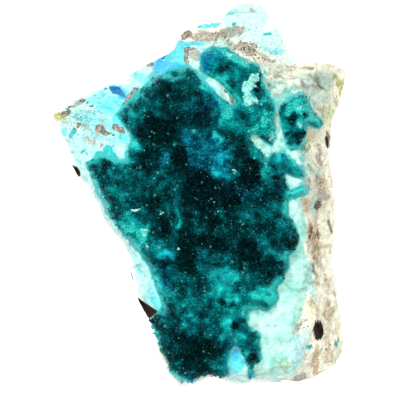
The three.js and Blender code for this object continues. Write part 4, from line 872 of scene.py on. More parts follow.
# ------------------------------------------------------------ meshes
def mesh_piece(name, points, faces, material, smooth_faces, attributes, node):
    """Makes a piece from arrays: points in millimetres, faces with three or four corners
    each, and one number per point for each named attribute. The first `smooth_faces` of
    the faces are shaded smooth."""
    mesh = bpy.data.meshes.new(name)
    count, corners = faces.shape
    mesh.vertices.add(len(points))
    mesh.vertices.foreach_set("co", (points * MM).astype(np.float32).ravel())
    mesh.loops.add(count * corners)
    mesh.loops.foreach_set("vertex_index", faces.astype(np.int32).ravel())
    mesh.polygons.add(count)
    starts = np.arange(0, count * corners, corners, dtype=np.int32)
    mesh.polygons.foreach_set("loop_start", starts)
    mesh.polygons.foreach_set("use_smooth", np.arange(count) < smooth_faces)
    for key, values in attributes.items():
        layer = mesh.attributes.new(key, "FLOAT", "POINT")
        layer.data.foreach_set("value", values.astype(np.float32))
    mesh.update(calc_edges=True)
    if mesh.validate():
        raise RuntimeError(f"{name} has a broken mesh")
    mesh.materials.append(material)
    piece = bpy.data.objects.new(name, mesh)
    bpy.context.scene.collection.objects.link(piece)
    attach(piece, BODY)
    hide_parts(node)
    return piece


def index_grid(rows, columns):
    """Row and column numbers of every point of a grid, row by row."""
    return (v.ravel() for v in np.meshgrid(np.arange(rows), np.arange(columns), indexing="ij"))


def square_rings(cells, crowding):
    """A square grid of (cells + 1) x (cells + 1) points bent into rings round a middle:
    returns each point's ring from 0 to 1, drawn outwards by a power, and its angle."""
    side = np.linspace(-1, 1, cells + 1)
    a, b = (v.ravel() for v in np.meshgrid(side, side, indexing="ij"))
    ring = np.maximum(np.abs(a), np.abs(b))
    eighth = math.pi / 4
    wide = np.abs(a) >= np.abs(b)
    safe_a, safe_b = np.where(a == 0, 1, a), np.where(b == 0, 1, b)
    flat = eighth * b / safe_a + np.where(a < 0, math.pi, 0)
    steep = 2 * eighth - eighth * a / safe_b + np.where(b < 0, math.pi, 0)
    return ring**crowding, np.where(wide, flat, steep)


def rim_numbers(cells):
    """Numbers of the square grid's points round its edge, anticlockwise."""
    n = np.arange(cells)
    width = cells + 1
    right = cells * width + n
    return np.concatenate([n * width, right, (cells - n) * width + cells, cells - n])


def grid_quads(cells):
    """Corner numbers of the square grid's cells, anticlockwise seen from above."""
    i, j = index_grid(cells, cells)
    first = i * (cells + 1) + j
    return np.stack([first, first + cells + 1, first + cells + 2, first + 1], axis=1)


def wall_quads(lower, upper):
    """Cells of a wall between two closed rows of point numbers."""
    lower_next, upper_next = np.roll(lower, -1), np.roll(upper, -1)
    return np.stack([lower, lower_next, upper_next, upper], axis=1)


def as_triangles(quads):
    """Each four-cornered face as two triangles, split from its first to its third corner."""
    return np.concatenate([quads[:, [0, 1, 2]], quads[:, [0, 2, 3]]])


def stain_attributes(x, y, z):
    """Masks of the coloured patches on rock and coat. They lie on the upper side, and
    fade out a few millimetres down the flanks. Painted glare whitens the rims along the left
    side, along the middle of the right side and at the foot, where the light washes them out."""
    above = z - rock_plane(x, y)
    near_top = smooth((above + STAIN_REACH) / (STAIN_REACH / 2))
    wx, wy = strayed(x, y, *STAIN_STRAY)
    masks = {name: patch_mask(patches, wx, wy) * near_top for name, patches in STAINS.items()}
    # painted shade: the pits and the notch are marked for a near-black colour
    masks["pit"] = smooth(pit_depth(x, y) / PIT_EDGE) * smooth(above + PIT_REACH)
    masks["crack"] = np.clip(crack_depth(x, y) / CRACK_FULL, 0, CRACK_MOST) * near_top
    masks["left"] = smooth((-x - 1.5 - 0.25 * y) / 9)
    depth = depth_inside(ROCK_OUTLINE, x, y) + sway("glare_edge", x, y, z)
    left_side = smooth((-x - 3 - 0.2 * y) / 5) * smooth((13 - y) / 3)
    right_side = GLARE_RIGHT * beyond(x, 20, 2) * smooth((10 - y) / 3) * beyond(y, -17, 3)
    foot = GLARE_RIGHT * smooth((-y - 28) / 2) * smooth((14 - x) / 4)
    sides = np.maximum(left_side + right_side, foot)
    upper = smooth((above + GLARE_REACH) / 1.5 + sway("glare_foot", x, y, z))
    clear = 1 - np.clip(masks["olive"], 0, 1)
    # painted glare: the rims are marked for white where the light washes them out and where their
    # slope would be shaded
    masks["painted_glare"] = (1 - smooth(depth / GLARE_WIDTH)) * sides * upper * clear
    return masks


# ------------------------------------------------------------ the rock
def rock_points(x, y, ring, level):
    """Points of the rock's skin. Level 1 is the upper face, 0 the lower face, and between
    them the side, whose foot is drawn in. Each point is chipped along a rough normal,
    which is straight up or down inside the rim."""
    inset = 1 - LOWER_INSET * (1 - level) ** 2
    px = MIDDLE[0] + (x - MIDDLE[0]) * inset
    py = MIDDLE[1] + (y - MIDDLE[1]) * inset
    low = rock_bottom(px, py)
    z = low + (rock_plane(x, y) - low) * level
    outward = beyond(ring, RIM_START, 1 - RIM_START)
    normal = np.stack([
        (px - MIDDLE[0]) / HALF_SIZE[0] ** 2 * outward,
        (py - MIDDLE[1]) / HALF_SIZE[1] ** 2 * outward,
        (z - PLATEAU / 2) / HALF_SIZE[2] ** 2,
    ], axis=1)
    normal /= np.linalg.norm(normal, axis=1, keepdims=True)
    rest = np.where((level == 0) & (low == 0), 0, smooth(z / REST_FADE))
    stretched = [v * stretch for v, stretch in zip((px, py, z), STREAK_STRETCH)]
    streaks = sway("streaks", *stretched) * beyond(px, FLANK_START, FLANK_WIDTH)
    grains = sway("grains", px, py, z) * outward
    chip = chips(px, py, z) * (1 - RIM_KEPT * level * outward) + streaks + grains
    moved = np.stack([px, py, z], axis=1) + normal * (chip * rest)[:, None]
    moved[:, 2] -= np.where(level == 1, pit_depth(moved[:, 0], moved[:, 1]), 0)
    moved[:, 2] = np.maximum(moved[:, 2], 0)
    return moved, chip


def build_rock(sizes, material):
    """The rock: two square grids bent into rings inside the outline, joined round the
    side by rows of cells."""
    cells, rows = sizes.rock_cells, sizes.rock_side_rows
    ring, angle = square_rings(cells, RING_CROWDING)
    rim_radius = outline_radius(ROCK_OUTLINE, angle)
    proud = swell_height(PROUD_SPOTS, *around_middle(angle, rim_radius))
    x, y = around_middle(angle, (rim_radius + RIM_PROUD + proud) * ring)
    rim = rim_numbers(cells)
    levels = np.repeat(np.arange(1, rows) / rows, len(rim))
    side_x, side_y = np.tile(x[rim], rows - 1), np.tile(y[rim], rows - 1)
    parts = [
        rock_points(x, y, ring, np.ones(len(x))),
        rock_points(x, y, ring, np.zeros(len(x))),
        rock_points(side_x, side_y, np.ones(len(levels)), levels),
    ]
    points, chip = (np.concatenate(part) for part in zip(*parts))
    count = len(x)
    side_rows = [2 * count + row * len(rim) + np.arange(len(rim)) for row in range(rows - 1)]
    levels_up = [rim + count] + side_rows + [rim]
    quads = [grid_quads(cells), grid_quads(cells)[:, ::-1] + count]
    quads += [wall_quads(low, high) for low, high in zip(levels_up, levels_up[1:])]
    faces = as_triangles(np.concatenate(quads))
    px, py, pz = points.T
    attributes = stain_attributes(px, py, pz)
    # painted shade: the deeper hollows of the chipped rock are marked for darkening
    attributes["hollow"] = smooth(-(chip + HOLLOW_START) / HOLLOW_WIDTH)
    attributes["flank"] = beyond(px, FLANK_START, FLANK_WIDTH) * beyond(pz, 4, 6)
    return mesh_piece(
        "matrix_rock_surface", points, faces, material, len(faces), attributes,
        "matrix_rock",
    )


# ------------------------------------------------------------ the coat
def build_coat(sizes, material):
    """The chrysocolla: a square grid bent into rings inside its outline, with a skirt
    hidden in the rock and a cone that closes it there."""
    cells = sizes.coat_cells
    ring, angle = square_rings(cells, RING_CROWDING)
    x, y = around_middle(angle, worn_radius(COAT_OUTLINE, angle) * ring)
    top = np.stack([x, y, coat_height(x, y) - pit_depth(x, y)], axis=1)
    rim = rim_numbers(cells)
    skirt = top[rim] * (1 - SKIRT_INSET) + np.array([*MIDDLE, 0.0]) * SKIRT_INSET
    skirt[:, 2] = top[rim, 2] - SKIRT_DEPTH
    foot = np.array([[*MIDDLE, PLATEAU / 2]])
    points = np.concatenate([top, skirt, foot])
    below = len(top) + np.arange(len(rim))
    cone = np.stack([np.full(len(rim), len(points) - 1), np.roll(below, -1), below], axis=1)
    sheet = as_triangles(grid_quads(cells))
    faces = np.concatenate([sheet, as_triangles(wall_quads(below, rim)), cone])
    px, py, pz = points.T
    attributes = stain_attributes(px, py, pz)
    inside = depth_inside(COAT_OUTLINE, px, py)
    worn = 1 - smooth((inside + sway("worn_edge", px, py)) / COAT_WORN)
    attributes["thin"] = np.maximum(worn, patch_mask(BARE, *strayed(px, py, *STAIN_STRAY)))
    attributes["film"] = film_share(px, py)
    return mesh_piece(
        "chrysocolla_coat", points, faces, material, len(sheet), attributes,
        "chrysocolla_layer",
    )


def film_share(x, y):
    """How much of the crystals' cyan film lies on the coat: all of it at the druses, and
    none an uneven distance away, less far where a rim is sharp."""
    outlines = (DRUSE_OUTLINE, POCKET_OUTLINE)
    nearest = np.minimum(*(line_distance(outline, True, x, y) for outline in outlines))
    depth = np.maximum(*(ragged_depth(outline, x, y) for outline in outlines))
    uneven = np.clip(between(FILM_SHARES, cloud(x, y, 0 * x, *FILM_NOISE)), *FILM_LIMITS)
    reach = FILM_REACH * uneven * (1 - SHARP_FILM * sharp_share(x, y))
    return np.maximum(1 - smooth(nearest / reach), 1 - smooth(-depth / FILM_FOOT))


# ------------------------------------------------------------ the druses
def lattice(outline, pitch, channel):
    """Points of a triangular lattice over the outline's box, each moved a little at
    random, and the lattice's width in points."""
    corners = np.array(outline)
    low, high = corners.min(axis=0) - 2 * pitch, corners.max(axis=0) + 2 * pitch
    columns = int((high[0] - low[0]) / pitch) + 1
    rows = int((high[1] - low[1]) / (pitch * ROW_STEP)) + 1
    j, i = index_grid(rows, columns)
    chances = (random_number(i, j, 0, channel + n) for n in (0, 1))
    stray_x, stray_y = ((chance - 0.5) * pitch * LATTICE_STRAY for chance in chances)
    x = low[0] + (i + (j % 2) / 2) * pitch + stray_x
    y = low[1] + j * pitch * ROW_STEP + stray_y
    return x, y, i, j, columns


def lattice_triangles(i, j, columns):
    """The lattice's triangles, anticlockwise: two for each point that has neighbours to
    its right and above."""
    inner = (i < columns - 1) & (j < j.max())
    a = np.flatnonzero(inner)
    b, c, d = a + 1, a + columns, a + columns + 1
    odd = (j[a] % 2 == 1)[:, None]
    first = np.where(odd, np.stack([a, b, d], axis=1), np.stack([a, b, c], axis=1))
    second = np.where(odd, np.stack([a, d, c], axis=1), np.stack([b, d, c], axis=1))
    return np.concatenate([first, second])


def open_edges(triangles, count):
    """Edges that only one triangle uses, in that triangle's direction."""
    edges = triangles[:, [0, 1, 1, 2, 2, 0]].reshape(-1, 2)
    forward = edges[:, 0] * count + edges[:, 1]
    backward = edges[:, 1] * count + edges[:, 0]
    return edges[~np.isin(forward, backward)]


def without_pinches(triangles, count):
    """Drops triangles at points where two open rims touch, until none is left."""
    while True:
        rims = np.bincount(open_edges(triangles, count).ravel(), minlength=count)
        pinched = rims > 2
        if not pinched.any():
            return triangles
        triangles = triangles[~pinched[triangles].any(axis=1)]


def ragged_depth(outline, x, y):
    """Depth inside the outline, shifted by two sizes of noise so that the rim is ragged."""
    stray = sway("druse_edge", x, y) + sway("druse_fray", x, y)
    return depth_inside(outline, x, y) + stray


def sharp_share(x, y):
    """1 where a druse is dark right up to its rim, and 0 where its rim is light."""
    return np.clip(patch_mask(SHARP_RIMS, x, y), 0, 1)


def velvet_share(light, x, y):
    """How velvety a druse is, from 0 where it is dark to 1 where it is light: there its
    crystals are few and low, and the crust between them shows. Its coarse spots aren't."""
    return beyond(light, 0.45, 0.3) * (1 - np.clip(patch_mask(COARSE, x, y), 0, 1))


def druse_attributes(colouring, outline, x, y):
    """Masks of a druse's colour: how light and how blue it is, and where it is pale. The
    tones shift its ground, its rim is lighter, and it is mottled all over."""
    depth = np.abs(ragged_depth(outline, x, y))
    wx, wy = strayed(x, y, *TONE_STRAY)
    uneven = between(FRINGE_SHARES, cloud(x, y, 0 * x, *FRINGE_NOISE))
    blunt = 1 - SHARP_FRINGE * sharp_share(x, y)
    fringe = (1 - smooth(depth / FRINGE_REACH)) * uneven * blunt
    mottle = sway("mottle", x, y) + sway("fine_mottle", x, y)
    toned = colouring["ground"] + patch_sum(colouring["tones"], wx, wy)
    level = np.maximum(toned + colouring["fringe"] * fringe, 0)
    width, least = MOTTLE_RISE
    return {
        "light": np.clip(level + mottle * smooth(level / width + least), 0, LIGHTEST),
        "blue": patch_mask(colouring["blue"], wx, wy),
        "pale": patch_mask(colouring["pale"], wx, wy),
    }


def build_crust(name, outline, lumps, colouring, pitch, material, node):
    """The crust that a druse's crystals stand on: a triangular lattice cut off at the
    outline, with a wall round it and an underside sunk in the chrysocolla."""
    lattice_channel, rough_channel, tint_channel = CRUST_CHANNELS
    x, y, i, j, columns = lattice(outline, pitch, lattice_channel)
    triangles = lattice_triangles(i, j, columns)
    kept = ragged_depth(outline, x, y) > 0
    triangles = without_pinches(triangles[kept[triangles].all(axis=1)], len(x))
    used, triangles = np.unique(triangles, return_inverse=True)
    triangles = triangles.reshape(-1, 3)
    x, y, i, j = (v[used] for v in (x, y, i, j))
    colours = druse_attributes(colouring, outline, x, y)
    velvet = velvet_share(colours["light"], x, y)
    grain = random_number(i, j, 0, rough_channel) - 0.5
    rough = (CRUST_ROUGH - VELVET_SMOOTHS * velvet) * grain
    height = druse_height(outline, lumps, x, y) + rough + VELVET_RISE * velvet
    lower = np.stack([x, y, coat_height(x, y) - CRUST_SINK], axis=1)
    upper = np.stack([x, y, np.maximum(height, lower[:, 2] + CRUST_SINK / 2)], axis=1)
    a, b = open_edges(triangles, len(x)).T
    walls = np.stack([a, a + len(x), b + len(x), b], axis=1)
    faces = np.concatenate([triangles, triangles[:, ::-1] + len(x), as_triangles(walls)])
    # the crust has none of the crystals' painted tip light
    values = {**colours, "tip": np.zeros(len(x)), "tint": random_number(i, j, 0, tint_channel)}
    attributes = {key: np.tile(value, 2) for key, value in values.items()}
    points = np.concatenate([upper, lower])
    return mesh_piece(
        name, points, faces, material, len(triangles), attributes, node,
    )


def crystal_faces():
    """Faces of one crystal: points 0 to 5 are its foot, 6 to 11 its shoulders and 12 its
    tip. The foot has four triangles, each side two and the tip six."""
    faces = [(0, n + 1, n) for n in range(1, SIDES - 1)]
    for n in range(SIDES):
        after = (n + 1) % SIDES
        shoulder, next_shoulder = n + SIDES, after + SIDES
        faces += [
            (n, after, next_shoulder), (n, next_shoulder, shoulder),
            (shoulder, next_shoulder, CRYSTAL_POINTS - 1),
        ]
    return np.array(faces)


def crystal_points(x, y, height, depth, slope_x, slope_y, chance, sizes):
    """Points of every crystal, 13 each. Its axis follows the slope and leans at random;
    two directions across the axis carry the six corners of its foot. The shoulders are
    the foot moved up the axis, every other one lower, so that the tip has three faces."""
    lean_x, lean_y, widening, lengthening, steepening, turning = chance
    lean = sizes.crystal_lean
    axis = np.stack([
        -SLOPE_LEAN * slope_x + lean * (lean_x * 2 - 1),
        -SLOPE_LEAN * slope_y + lean * (lean_y * 2 - 1),
        np.ones(len(x)),
    ], axis=1)
    axis /= np.linalg.norm(axis, axis=1, keepdims=True)
    side = np.cross(axis, np.array([0.0, 1.0, 0.0]))
    side /= np.linalg.norm(side, axis=1, keepdims=True)
    other = np.cross(axis, side)
    bigger = between(CLUSTER_SIZES, cloud(x, y, 0 * x, *CLUSTER_NOISE))
    near_rim = between(RIM_SIZES, smooth(depth / SMALL_RIM))
    usual = sizes.crystal_width / MM / 2
    width = usual * between(CRYSTAL_WIDTHS, widening**2) * bigger * near_rim
    length = width * (sizes.crystal_slimness * between(CRYSTAL_LENGTHS, lengthening))
    corner = (turning * 2 * math.pi)[:, None] + np.arange(SIDES) * math.pi / 3
    cosine, sine = np.cos(corner)[:, :, None], np.sin(corner)[:, :, None]
    across = cosine * side[:, None] + sine * other[:, None]
    ground = np.stack([x, y, height], axis=1)
    centre = ground - axis * (length * CRYSTAL_SUNK)[:, None]
    steep = between(TIP_STEEPNESS, steepening)
    drop = np.tile(SHOULDER_DROPS, SIDES // 2)[None] * (steep * width)[:, None]
    foot = centre[:, None] + across * width[:, None, None]
    shoulder = foot + axis[:, None] * (length[:, None] - drop)[:, :, None]
    tip = centre + axis * length[:, None]
    return np.concatenate([foot, shoulder, tip[:, None]], axis=1).reshape(-1, 3)


def build_crystals(name, outline, lumps, colouring, sizes, half, material, node):
    """Crystals: six-sided prisms, each with a three-faced tip. They stand on the crust
    about its normal, each tilted, turned and sized at random, and sunk by half. `half`
    picks every other row of them, so that a piece stays small."""
    lattice_channel, shown_channel, shape_channel = CRYSTAL_CHANNELS
    x, y, i, j, _ = lattice(outline, sizes.crystal_spacing / MM, lattice_channel)
    depth = ragged_depth(outline, x, y)
    zones = druse_attributes(colouring, outline, x, y)
    fewer = VELVET_SHARE * velvet_share(zones["light"], x, y)
    fewer = np.maximum(fewer, np.where(zones["pale"] < 0.5, 0, BARE_SHARE))
    shown = (depth > RIM_STRADDLE) & (random_number(i, j, 0, shown_channel) > fewer)
    if half is not None:
        shown &= j % 2 == half
    x, y, i, j, depth = (v[shown] for v in (x, y, i, j, depth))
    *chance, tint = (random_number(i, j, 0, shape_channel + n) for n in range(7))
    height = druse_height(outline, lumps, x, y)
    slope_x = (druse_height(outline, lumps, x + SLOPE_STEP, y) - height) / SLOPE_STEP
    slope_y = (druse_height(outline, lumps, x, y + SLOPE_STEP) - height) / SLOPE_STEP
    points = crystal_points(x, y, height, depth, slope_x, slope_y, chance, sizes)
    first = CRYSTAL_POINTS * np.arange(len(x))
    faces = (crystal_faces()[None] + first[:, None, None]).reshape(-1, 3)
    colours = druse_attributes(colouring, outline, x, y)
    attributes = {key: np.repeat(value, CRYSTAL_POINTS) for key, value in colours.items()}
    # painted light and shade: each crystal is lighter towards its tip and darker at its foot
    attributes["tip"] = np.tile(np.repeat(TIP_PAINTED_LIGHT, [SIDES, SIDES, 1]), len(x))
    attributes["tint"] = np.repeat(tint, CRYSTAL_POINTS)
    return mesh_piece(name, points, faces, material, 0, attributes, node)


# ------------------------------------------------------------ shader nodes
def plug(tree, socket, value):
    """Links a node's result to a socket, or sets the socket's own value."""
    if isinstance(value, bpy.types.NodeSocket):
        tree.links.new(value, socket)
    elif socket.type == "RGBA":
        socket.default_value = (*value[:3], 1)
    else:
        socket.default_value = value


def add_node(tree, kind, inputs=None, **fields):
    """Adds a node, sets its fields, and gives each named input a value or a link."""
    made = tree.nodes.new(kind)
    for key, value in fields.items():
        setattr(made, key, value)
    for key, value in (inputs or {}).items():
        plug(tree, made.inputs[key], value)
    return made


def object_place(tree):
    """The Object coordinate: the point on the piece, in metres."""
    return add_node(tree, "ShaderNodeTexCoord").outputs["Object"]


def per_metre(size):
    """The scale of a noise whose blobs are `size` millimetres."""
    return 1 / (size * MM)


def noise(tree, scale, detail=2.0, rough=0.55, place=None):
    """Noise from 0 to 1 with so many blobs per metre."""
    return add_node(tree, "ShaderNodeTexNoise", {
        "Vector": place or object_place(tree), "Scale": scale, "Detail": detail,
        "Roughness": rough,
    }).outputs["Fac"]


def calculate(tree, operation, first, second=0.0, third=0.0, clamp=False):
    """One step of arithmetic."""
    inputs = {0: first, 1: second, 2: third}
    made = add_node(tree, "ShaderNodeMath", inputs, operation=operation, use_clamp=clamp)
    return made.outputs[0]


def times(tree, first, second, clamp=False):
    """The product of two numbers."""
    return calculate(tree, "MULTIPLY", first, second, clamp=clamp)


def step_between(tree, value, low, high):
    """An S-shaped rise from 0 at `low` to 1 at `high`."""
    inputs = {"Value": value, "From Min": low, "From Max": high}
    made = add_node(tree, "ShaderNodeMapRange", inputs, interpolation_type="SMOOTHSTEP")
    return made.outputs["Result"]


def step_at_half(tree, value, spread):
    """The same rise from `spread` below a half to as much above it."""
    low, high = (calculate(tree, way, 0.5, spread) for way in ("SUBTRACT", "ADD"))
    return step_between(tree, value, low, high)


def blend_colour(tree, share, first, second):
    """The first colour with a share of the second."""
    inputs = {0: share, 6: first, 7: second}
    return add_node(tree, "ShaderNodeMix", inputs, data_type="RGBA").outputs[2]


def attribute(tree, name):
    """A number stored at the piece's points."""
    return add_node(tree, "ShaderNodeAttribute", attribute_name=name).outputs["Fac"]


def blend_by(tree, colour, name, amount, other, clamp=False):
    """The colour with a share of the other: a stored number times an amount."""
    share = times(tree, attribute(tree, name), amount, clamp=clamp)
    return blend_colour(tree, share, colour, other)


def ramp(tree, share, stops):
    """A colour ramp through (place, colour) stops."""
    made = add_node(tree, "ShaderNodeValToRGB", {"Fac": share})
    elements = made.color_ramp.elements
    while len(elements) < len(stops):
        elements.new(0.5)
    for element, (place, colour) in zip(elements, stops):
        element.position = place
        element.color = (*colour, 1)
    return made.outputs["Color"]


# ------------------------------------------------------------ shader groups
GROUPS = {}


def socket_kind(value):
    """The kind of a group's socket: a colour has three numbers, and the rest have one."""
    return "NodeSocketColor" if isinstance(value, tuple) else "NodeSocketFloat"


def new_group(name, inputs, output, example):
    """An empty shader group: each input has a name and a default, and its result is like
    the example. Returns the group, its inputs by name and the socket of its result."""
    tree = bpy.data.node_groups.new(name, "ShaderNodeTree")
    for label, default in inputs.items():
        socket = tree.interface.new_socket(
            label, in_out="INPUT", socket_type=socket_kind(default),
        )
        socket.default_value = (*default, 1) if isinstance(default, tuple) else default
    tree.interface.new_socket(output, in_out="OUTPUT", socket_type=socket_kind(example))
    given = tree.nodes.new("NodeGroupInput").outputs
    return tree, given, tree.nodes.new("NodeGroupOutput").inputs[output]


def ragged_mask_group():
    """Turns a soft mask into one with a ragged edge: noise is added to it before it is cut."""
    inputs = {"Mask": 0.0, "Grain": 1000.0, "Raggedness": 0.8, "Softness": 0.15}
    tree, given, result = new_group("Ragged Mask", inputs, "Mask", 0.0)
    away = calculate(tree, "SUBTRACT", noise(tree, given["Grain"], 3.0, 0.6), 0.5)
    shake = times(tree, times(tree, away, given["Raggedness"]), 2.0)
    moved = calculate(tree, "ADD", given["Mask"], shake)
    cut = step_at_half(tree, moved, given["Softness"])
    present = step_between(tree, given["Mask"], 0.0, 0.12)
    plug(tree, result, times(tree, cut, present))
    return tree


def stain_group():
    """Colours a ragged patch, and lets the stain's strength vary inside it."""
    inputs = {
        "Color": WHITE, "Stain": GREY, "Mask": 0.0, "Grain": 1000.0, "Raggedness": 0.8,
        "Softness": 0.15, "Patchiness": 0.4,
    }
    tree, given, result = new_group("Stain", inputs, "Color", WHITE)
    edge = {key: given[key] for key in ("Mask", "Grain", "Raggedness", "Softness")}
    mask = add_node(tree, "ShaderNodeGroup", edge, node_tree=GROUPS["ragged"]).outputs["Mask"]
    gaps = step_between(tree, noise(tree, per_metre(0.45), 3.0, 0.7), 0.58, 0.44)
    kept = calculate(tree, "SUBTRACT", 1.0, times(tree, gaps, given["Patchiness"]))
    share = times(tree, mask, kept)
    plug(tree, result, blend_colour(tree, share, given["Color"], given["Stain"]))
    return tree


def mottle_group():
    """Wanders between two colours in soft clouds."""
    inputs = {"Color A": WHITE, "Color B": GREY, "Grain": 500.0, "Contrast": 0.15}
    tree, given, result = new_group("Mottle", inputs, "Color", WHITE)
    share = step_at_half(tree, noise(tree, given["Grain"], 4.0, 0.6), given["Contrast"])
    plug(tree, result, blend_colour(tree, share, given["Color A"], given["Color B"]))
    return tree


def shade_group():
    """Makes a colour lighter and darker in clouds that break up into fine grain."""
    inputs = {"Color": WHITE, "Grain": 1000.0, "Amount": 0.3}
    tree, given, result = new_group("Shade", inputs, "Color", WHITE)
    away = calculate(tree, "SUBTRACT", noise(tree, given["Grain"], 4.0, 0.75), 0.5)
    change = times(tree, away, given["Amount"])
    factor = calculate(tree, "MAXIMUM", calculate(tree, "MULTIPLY_ADD", change, 4.0, 1.0), 0.1)
    inputs = {0: given["Color"], "Scale": factor}
    scaled = add_node(tree, "ShaderNodeVectorMath", inputs, operation="SCALE")
    plug(tree, result, scaled.outputs["Vector"])
    return tree


def veins_group():
    """Thin wandering lines, where a noise crosses its middle, broken by gaps."""
    inputs = {"Color": WHITE, "Vein": GREY, "Share": 0.5, "Grain": 400.0, "Width": 0.012}
    tree, given, result = new_group("Veins", inputs, "Color", WHITE)
    away = calculate(tree, "SUBTRACT", noise(tree, given["Grain"], 4.0, 0.6), 0.5)
    away = calculate(tree, "ABSOLUTE", away)
    away = calculate(tree, "DIVIDE", away, given["Width"], clamp=True)
    line = calculate(tree, "SUBTRACT", 1.0, away)
    whole = step_between(tree, noise(tree, per_metre(3.1)), 0.46, 0.56)
    share = times(tree, times(tree, line, whole), given["Share"])
    plug(tree, result, blend_colour(tree, share, given["Color"], given["Vein"]))
    return tree


def specks_group():
    """Scatters specks over a colour, more of them where the share is high."""
    inputs = {"Color": WHITE, "Speck": GREY, "Share": 0.5, "Grain": 2000.0}
    tree, given, result = new_group("Specks", inputs, "Color", WHITE)
    grain = noise(tree, given["Grain"], 3.0, 0.6)
    level = calculate(tree, "MULTIPLY_ADD", given["Share"], -0.19, 0.76)
    above = step_between(tree, calculate(tree, "SUBTRACT", grain, level), -0.01, 0.05)
    plug(tree, result, blend_colour(tree, above, given["Color"], given["Speck"]))
    return tree


def grain_group():
    """Height of a fine broken surface: a noise with five octaves, and round pits."""
    inputs = {"Grain": 2000.0, "Pitted": 0.3}
    tree, given, result = new_group("Grain Relief", inputs, "Height", 0.0)
    inputs = {"Vector": object_place(tree), "Scale": given["Grain"]}
    cells = add_node(tree, "ShaderNodeTexVoronoi", inputs).outputs["Distance"]
    pits = times(tree, step_between(tree, cells, 0.0, 0.45), given["Pitted"])
    plug(tree, result, calculate(tree, "ADD", noise(tree, given["Grain"], 5.0, 0.65), pits))
    return tree


GROUP_MAKERS = {
    "ragged": ragged_mask_group, "stain": stain_group, "mottle": mottle_group,
    "shade": shade_group, "veins": veins_group, "specks": specks_group, "grain": grain_group,
}


def grouped(tree, kind, *colours, grain, **amounts):
    """Places a shader group, with colours for its first inputs, its grain in millimetres
    and amounts for the inputs of the same names."""
    inputs = dict(enumerate(colours))
    inputs["Grain"] = per_metre(grain)
    inputs.update((key.capitalize(), value) for key, value in amounts.items())
    return add_node(tree, "ShaderNodeGroup", inputs, node_tree=GROUPS[kind]).outputs[0]


# ------------------------------------------------------------ materials
def new_material(name, **sockets):
    """A material with a Principled shader, whose plain values are set on its sockets."""
    material = bpy.data.materials.new(name)
    material.use_nodes = True
    tree = material.node_tree
    shader = tree.nodes["Principled BSDF"]
    for key, value in sockets.items():
        plug(tree, shader.inputs[key.replace("_", " ")], value)
    return material, tree, shader


def bump(tree, shader, depth, grain, pitted):
    """Feeds the grain's relief, `depth` millimetres deep, to the shader's normal."""
    relief = grouped(tree, "grain", grain=grain, pitted=pitted)
    inputs = {"Height": relief, "Distance": depth * MM, "Strength": 1.0}
    normal = add_node(tree, "ShaderNodeBump", inputs).outputs["Normal"]
    plug(tree, shader.inputs["Normal"], normal)


def add_stains(tree, colour, colours):
    """Lays the coloured patches over a colour, one after another: each has its stored
    mask, its colour, grain, raggedness, softness and patchiness."""
    stains = (
        ("ice", colours.frost, 1.2, 0.5, 0.4, 0.3),
        ("cyan", colours.cyan, 0.9, 0.5, 0.35, 0.15),
        ("grey_green", colours.grey_green, 1.2, 0.6, 0.3, 0.4),
        ("sea", colours.sea, 0.8, 0.9, 0.3, 0.25),
        ("olive", colours.olive, 0.8, 0.7, 0.3, 0.4),
        ("pink", colours.pink, 0.5, 1.0, 0.25, 0.7),
        ("brown", colours.brown, 0.75, 0.8, 0.25, 0.3),
        ("rust", colours.rust, 0.6, 0.8, 0.3, 0.5),
        # the umber mask lays the dark colour first; where the filling leaves it, it stays as a ring
        # of painted shade round each hole
        ("umber", colours.dark, 0.9, 0.7, 0.12, 0.15),
        ("sky", colours.sky, 1.4, 0.35, 0.3, 0.05),
        ("turquoise", colours.turquoise, 0.6, 0.7, 0.2, 0.1),
        ("deep_blue", colours.deep_blue, 0.6, 0.4, 0.2, 0.1),
    )
    for name, stain, grain, raggedness, softness, patchiness in stains:
        colour = grouped(
            tree, "stain", colour, stain, mask=attribute(tree, name), grain=grain,
            raggedness=raggedness, softness=softness, patchiness=patchiness,
        )
    return colour


def add_specks(tree, colour, colours):
    """Umber fillings of iron stain inside their dark rims of painted shade, then fine dark specks
    and larger brown ones.
    """
    umber = attribute(tree, "umber")
    filling = grouped(tree, "mottle", colours.umber, colours.pink, grain=0.8, contrast=0.06)
    colour = grouped(
        tree, "stain", colour, filling, mask=times(tree, umber, 0.48), grain=0.5,
        raggedness=0.9, softness=0.14, patchiness=0.3,
    )
    brown = calculate(tree, "MAXIMUM", times(tree, attribute(tree, "brown"), 0.8), umber)
    strewn = calculate(tree, "MAXIMUM", attribute(tree, "specks"), brown)
    colour = grouped(tree, "specks", colour, colours.dark, share=strewn, grain=0.35)
    fewer = times(tree, strewn, 0.85)
    return grouped(tree, "specks", colour, colours.grey_brown, share=fewer, grain=0.9)


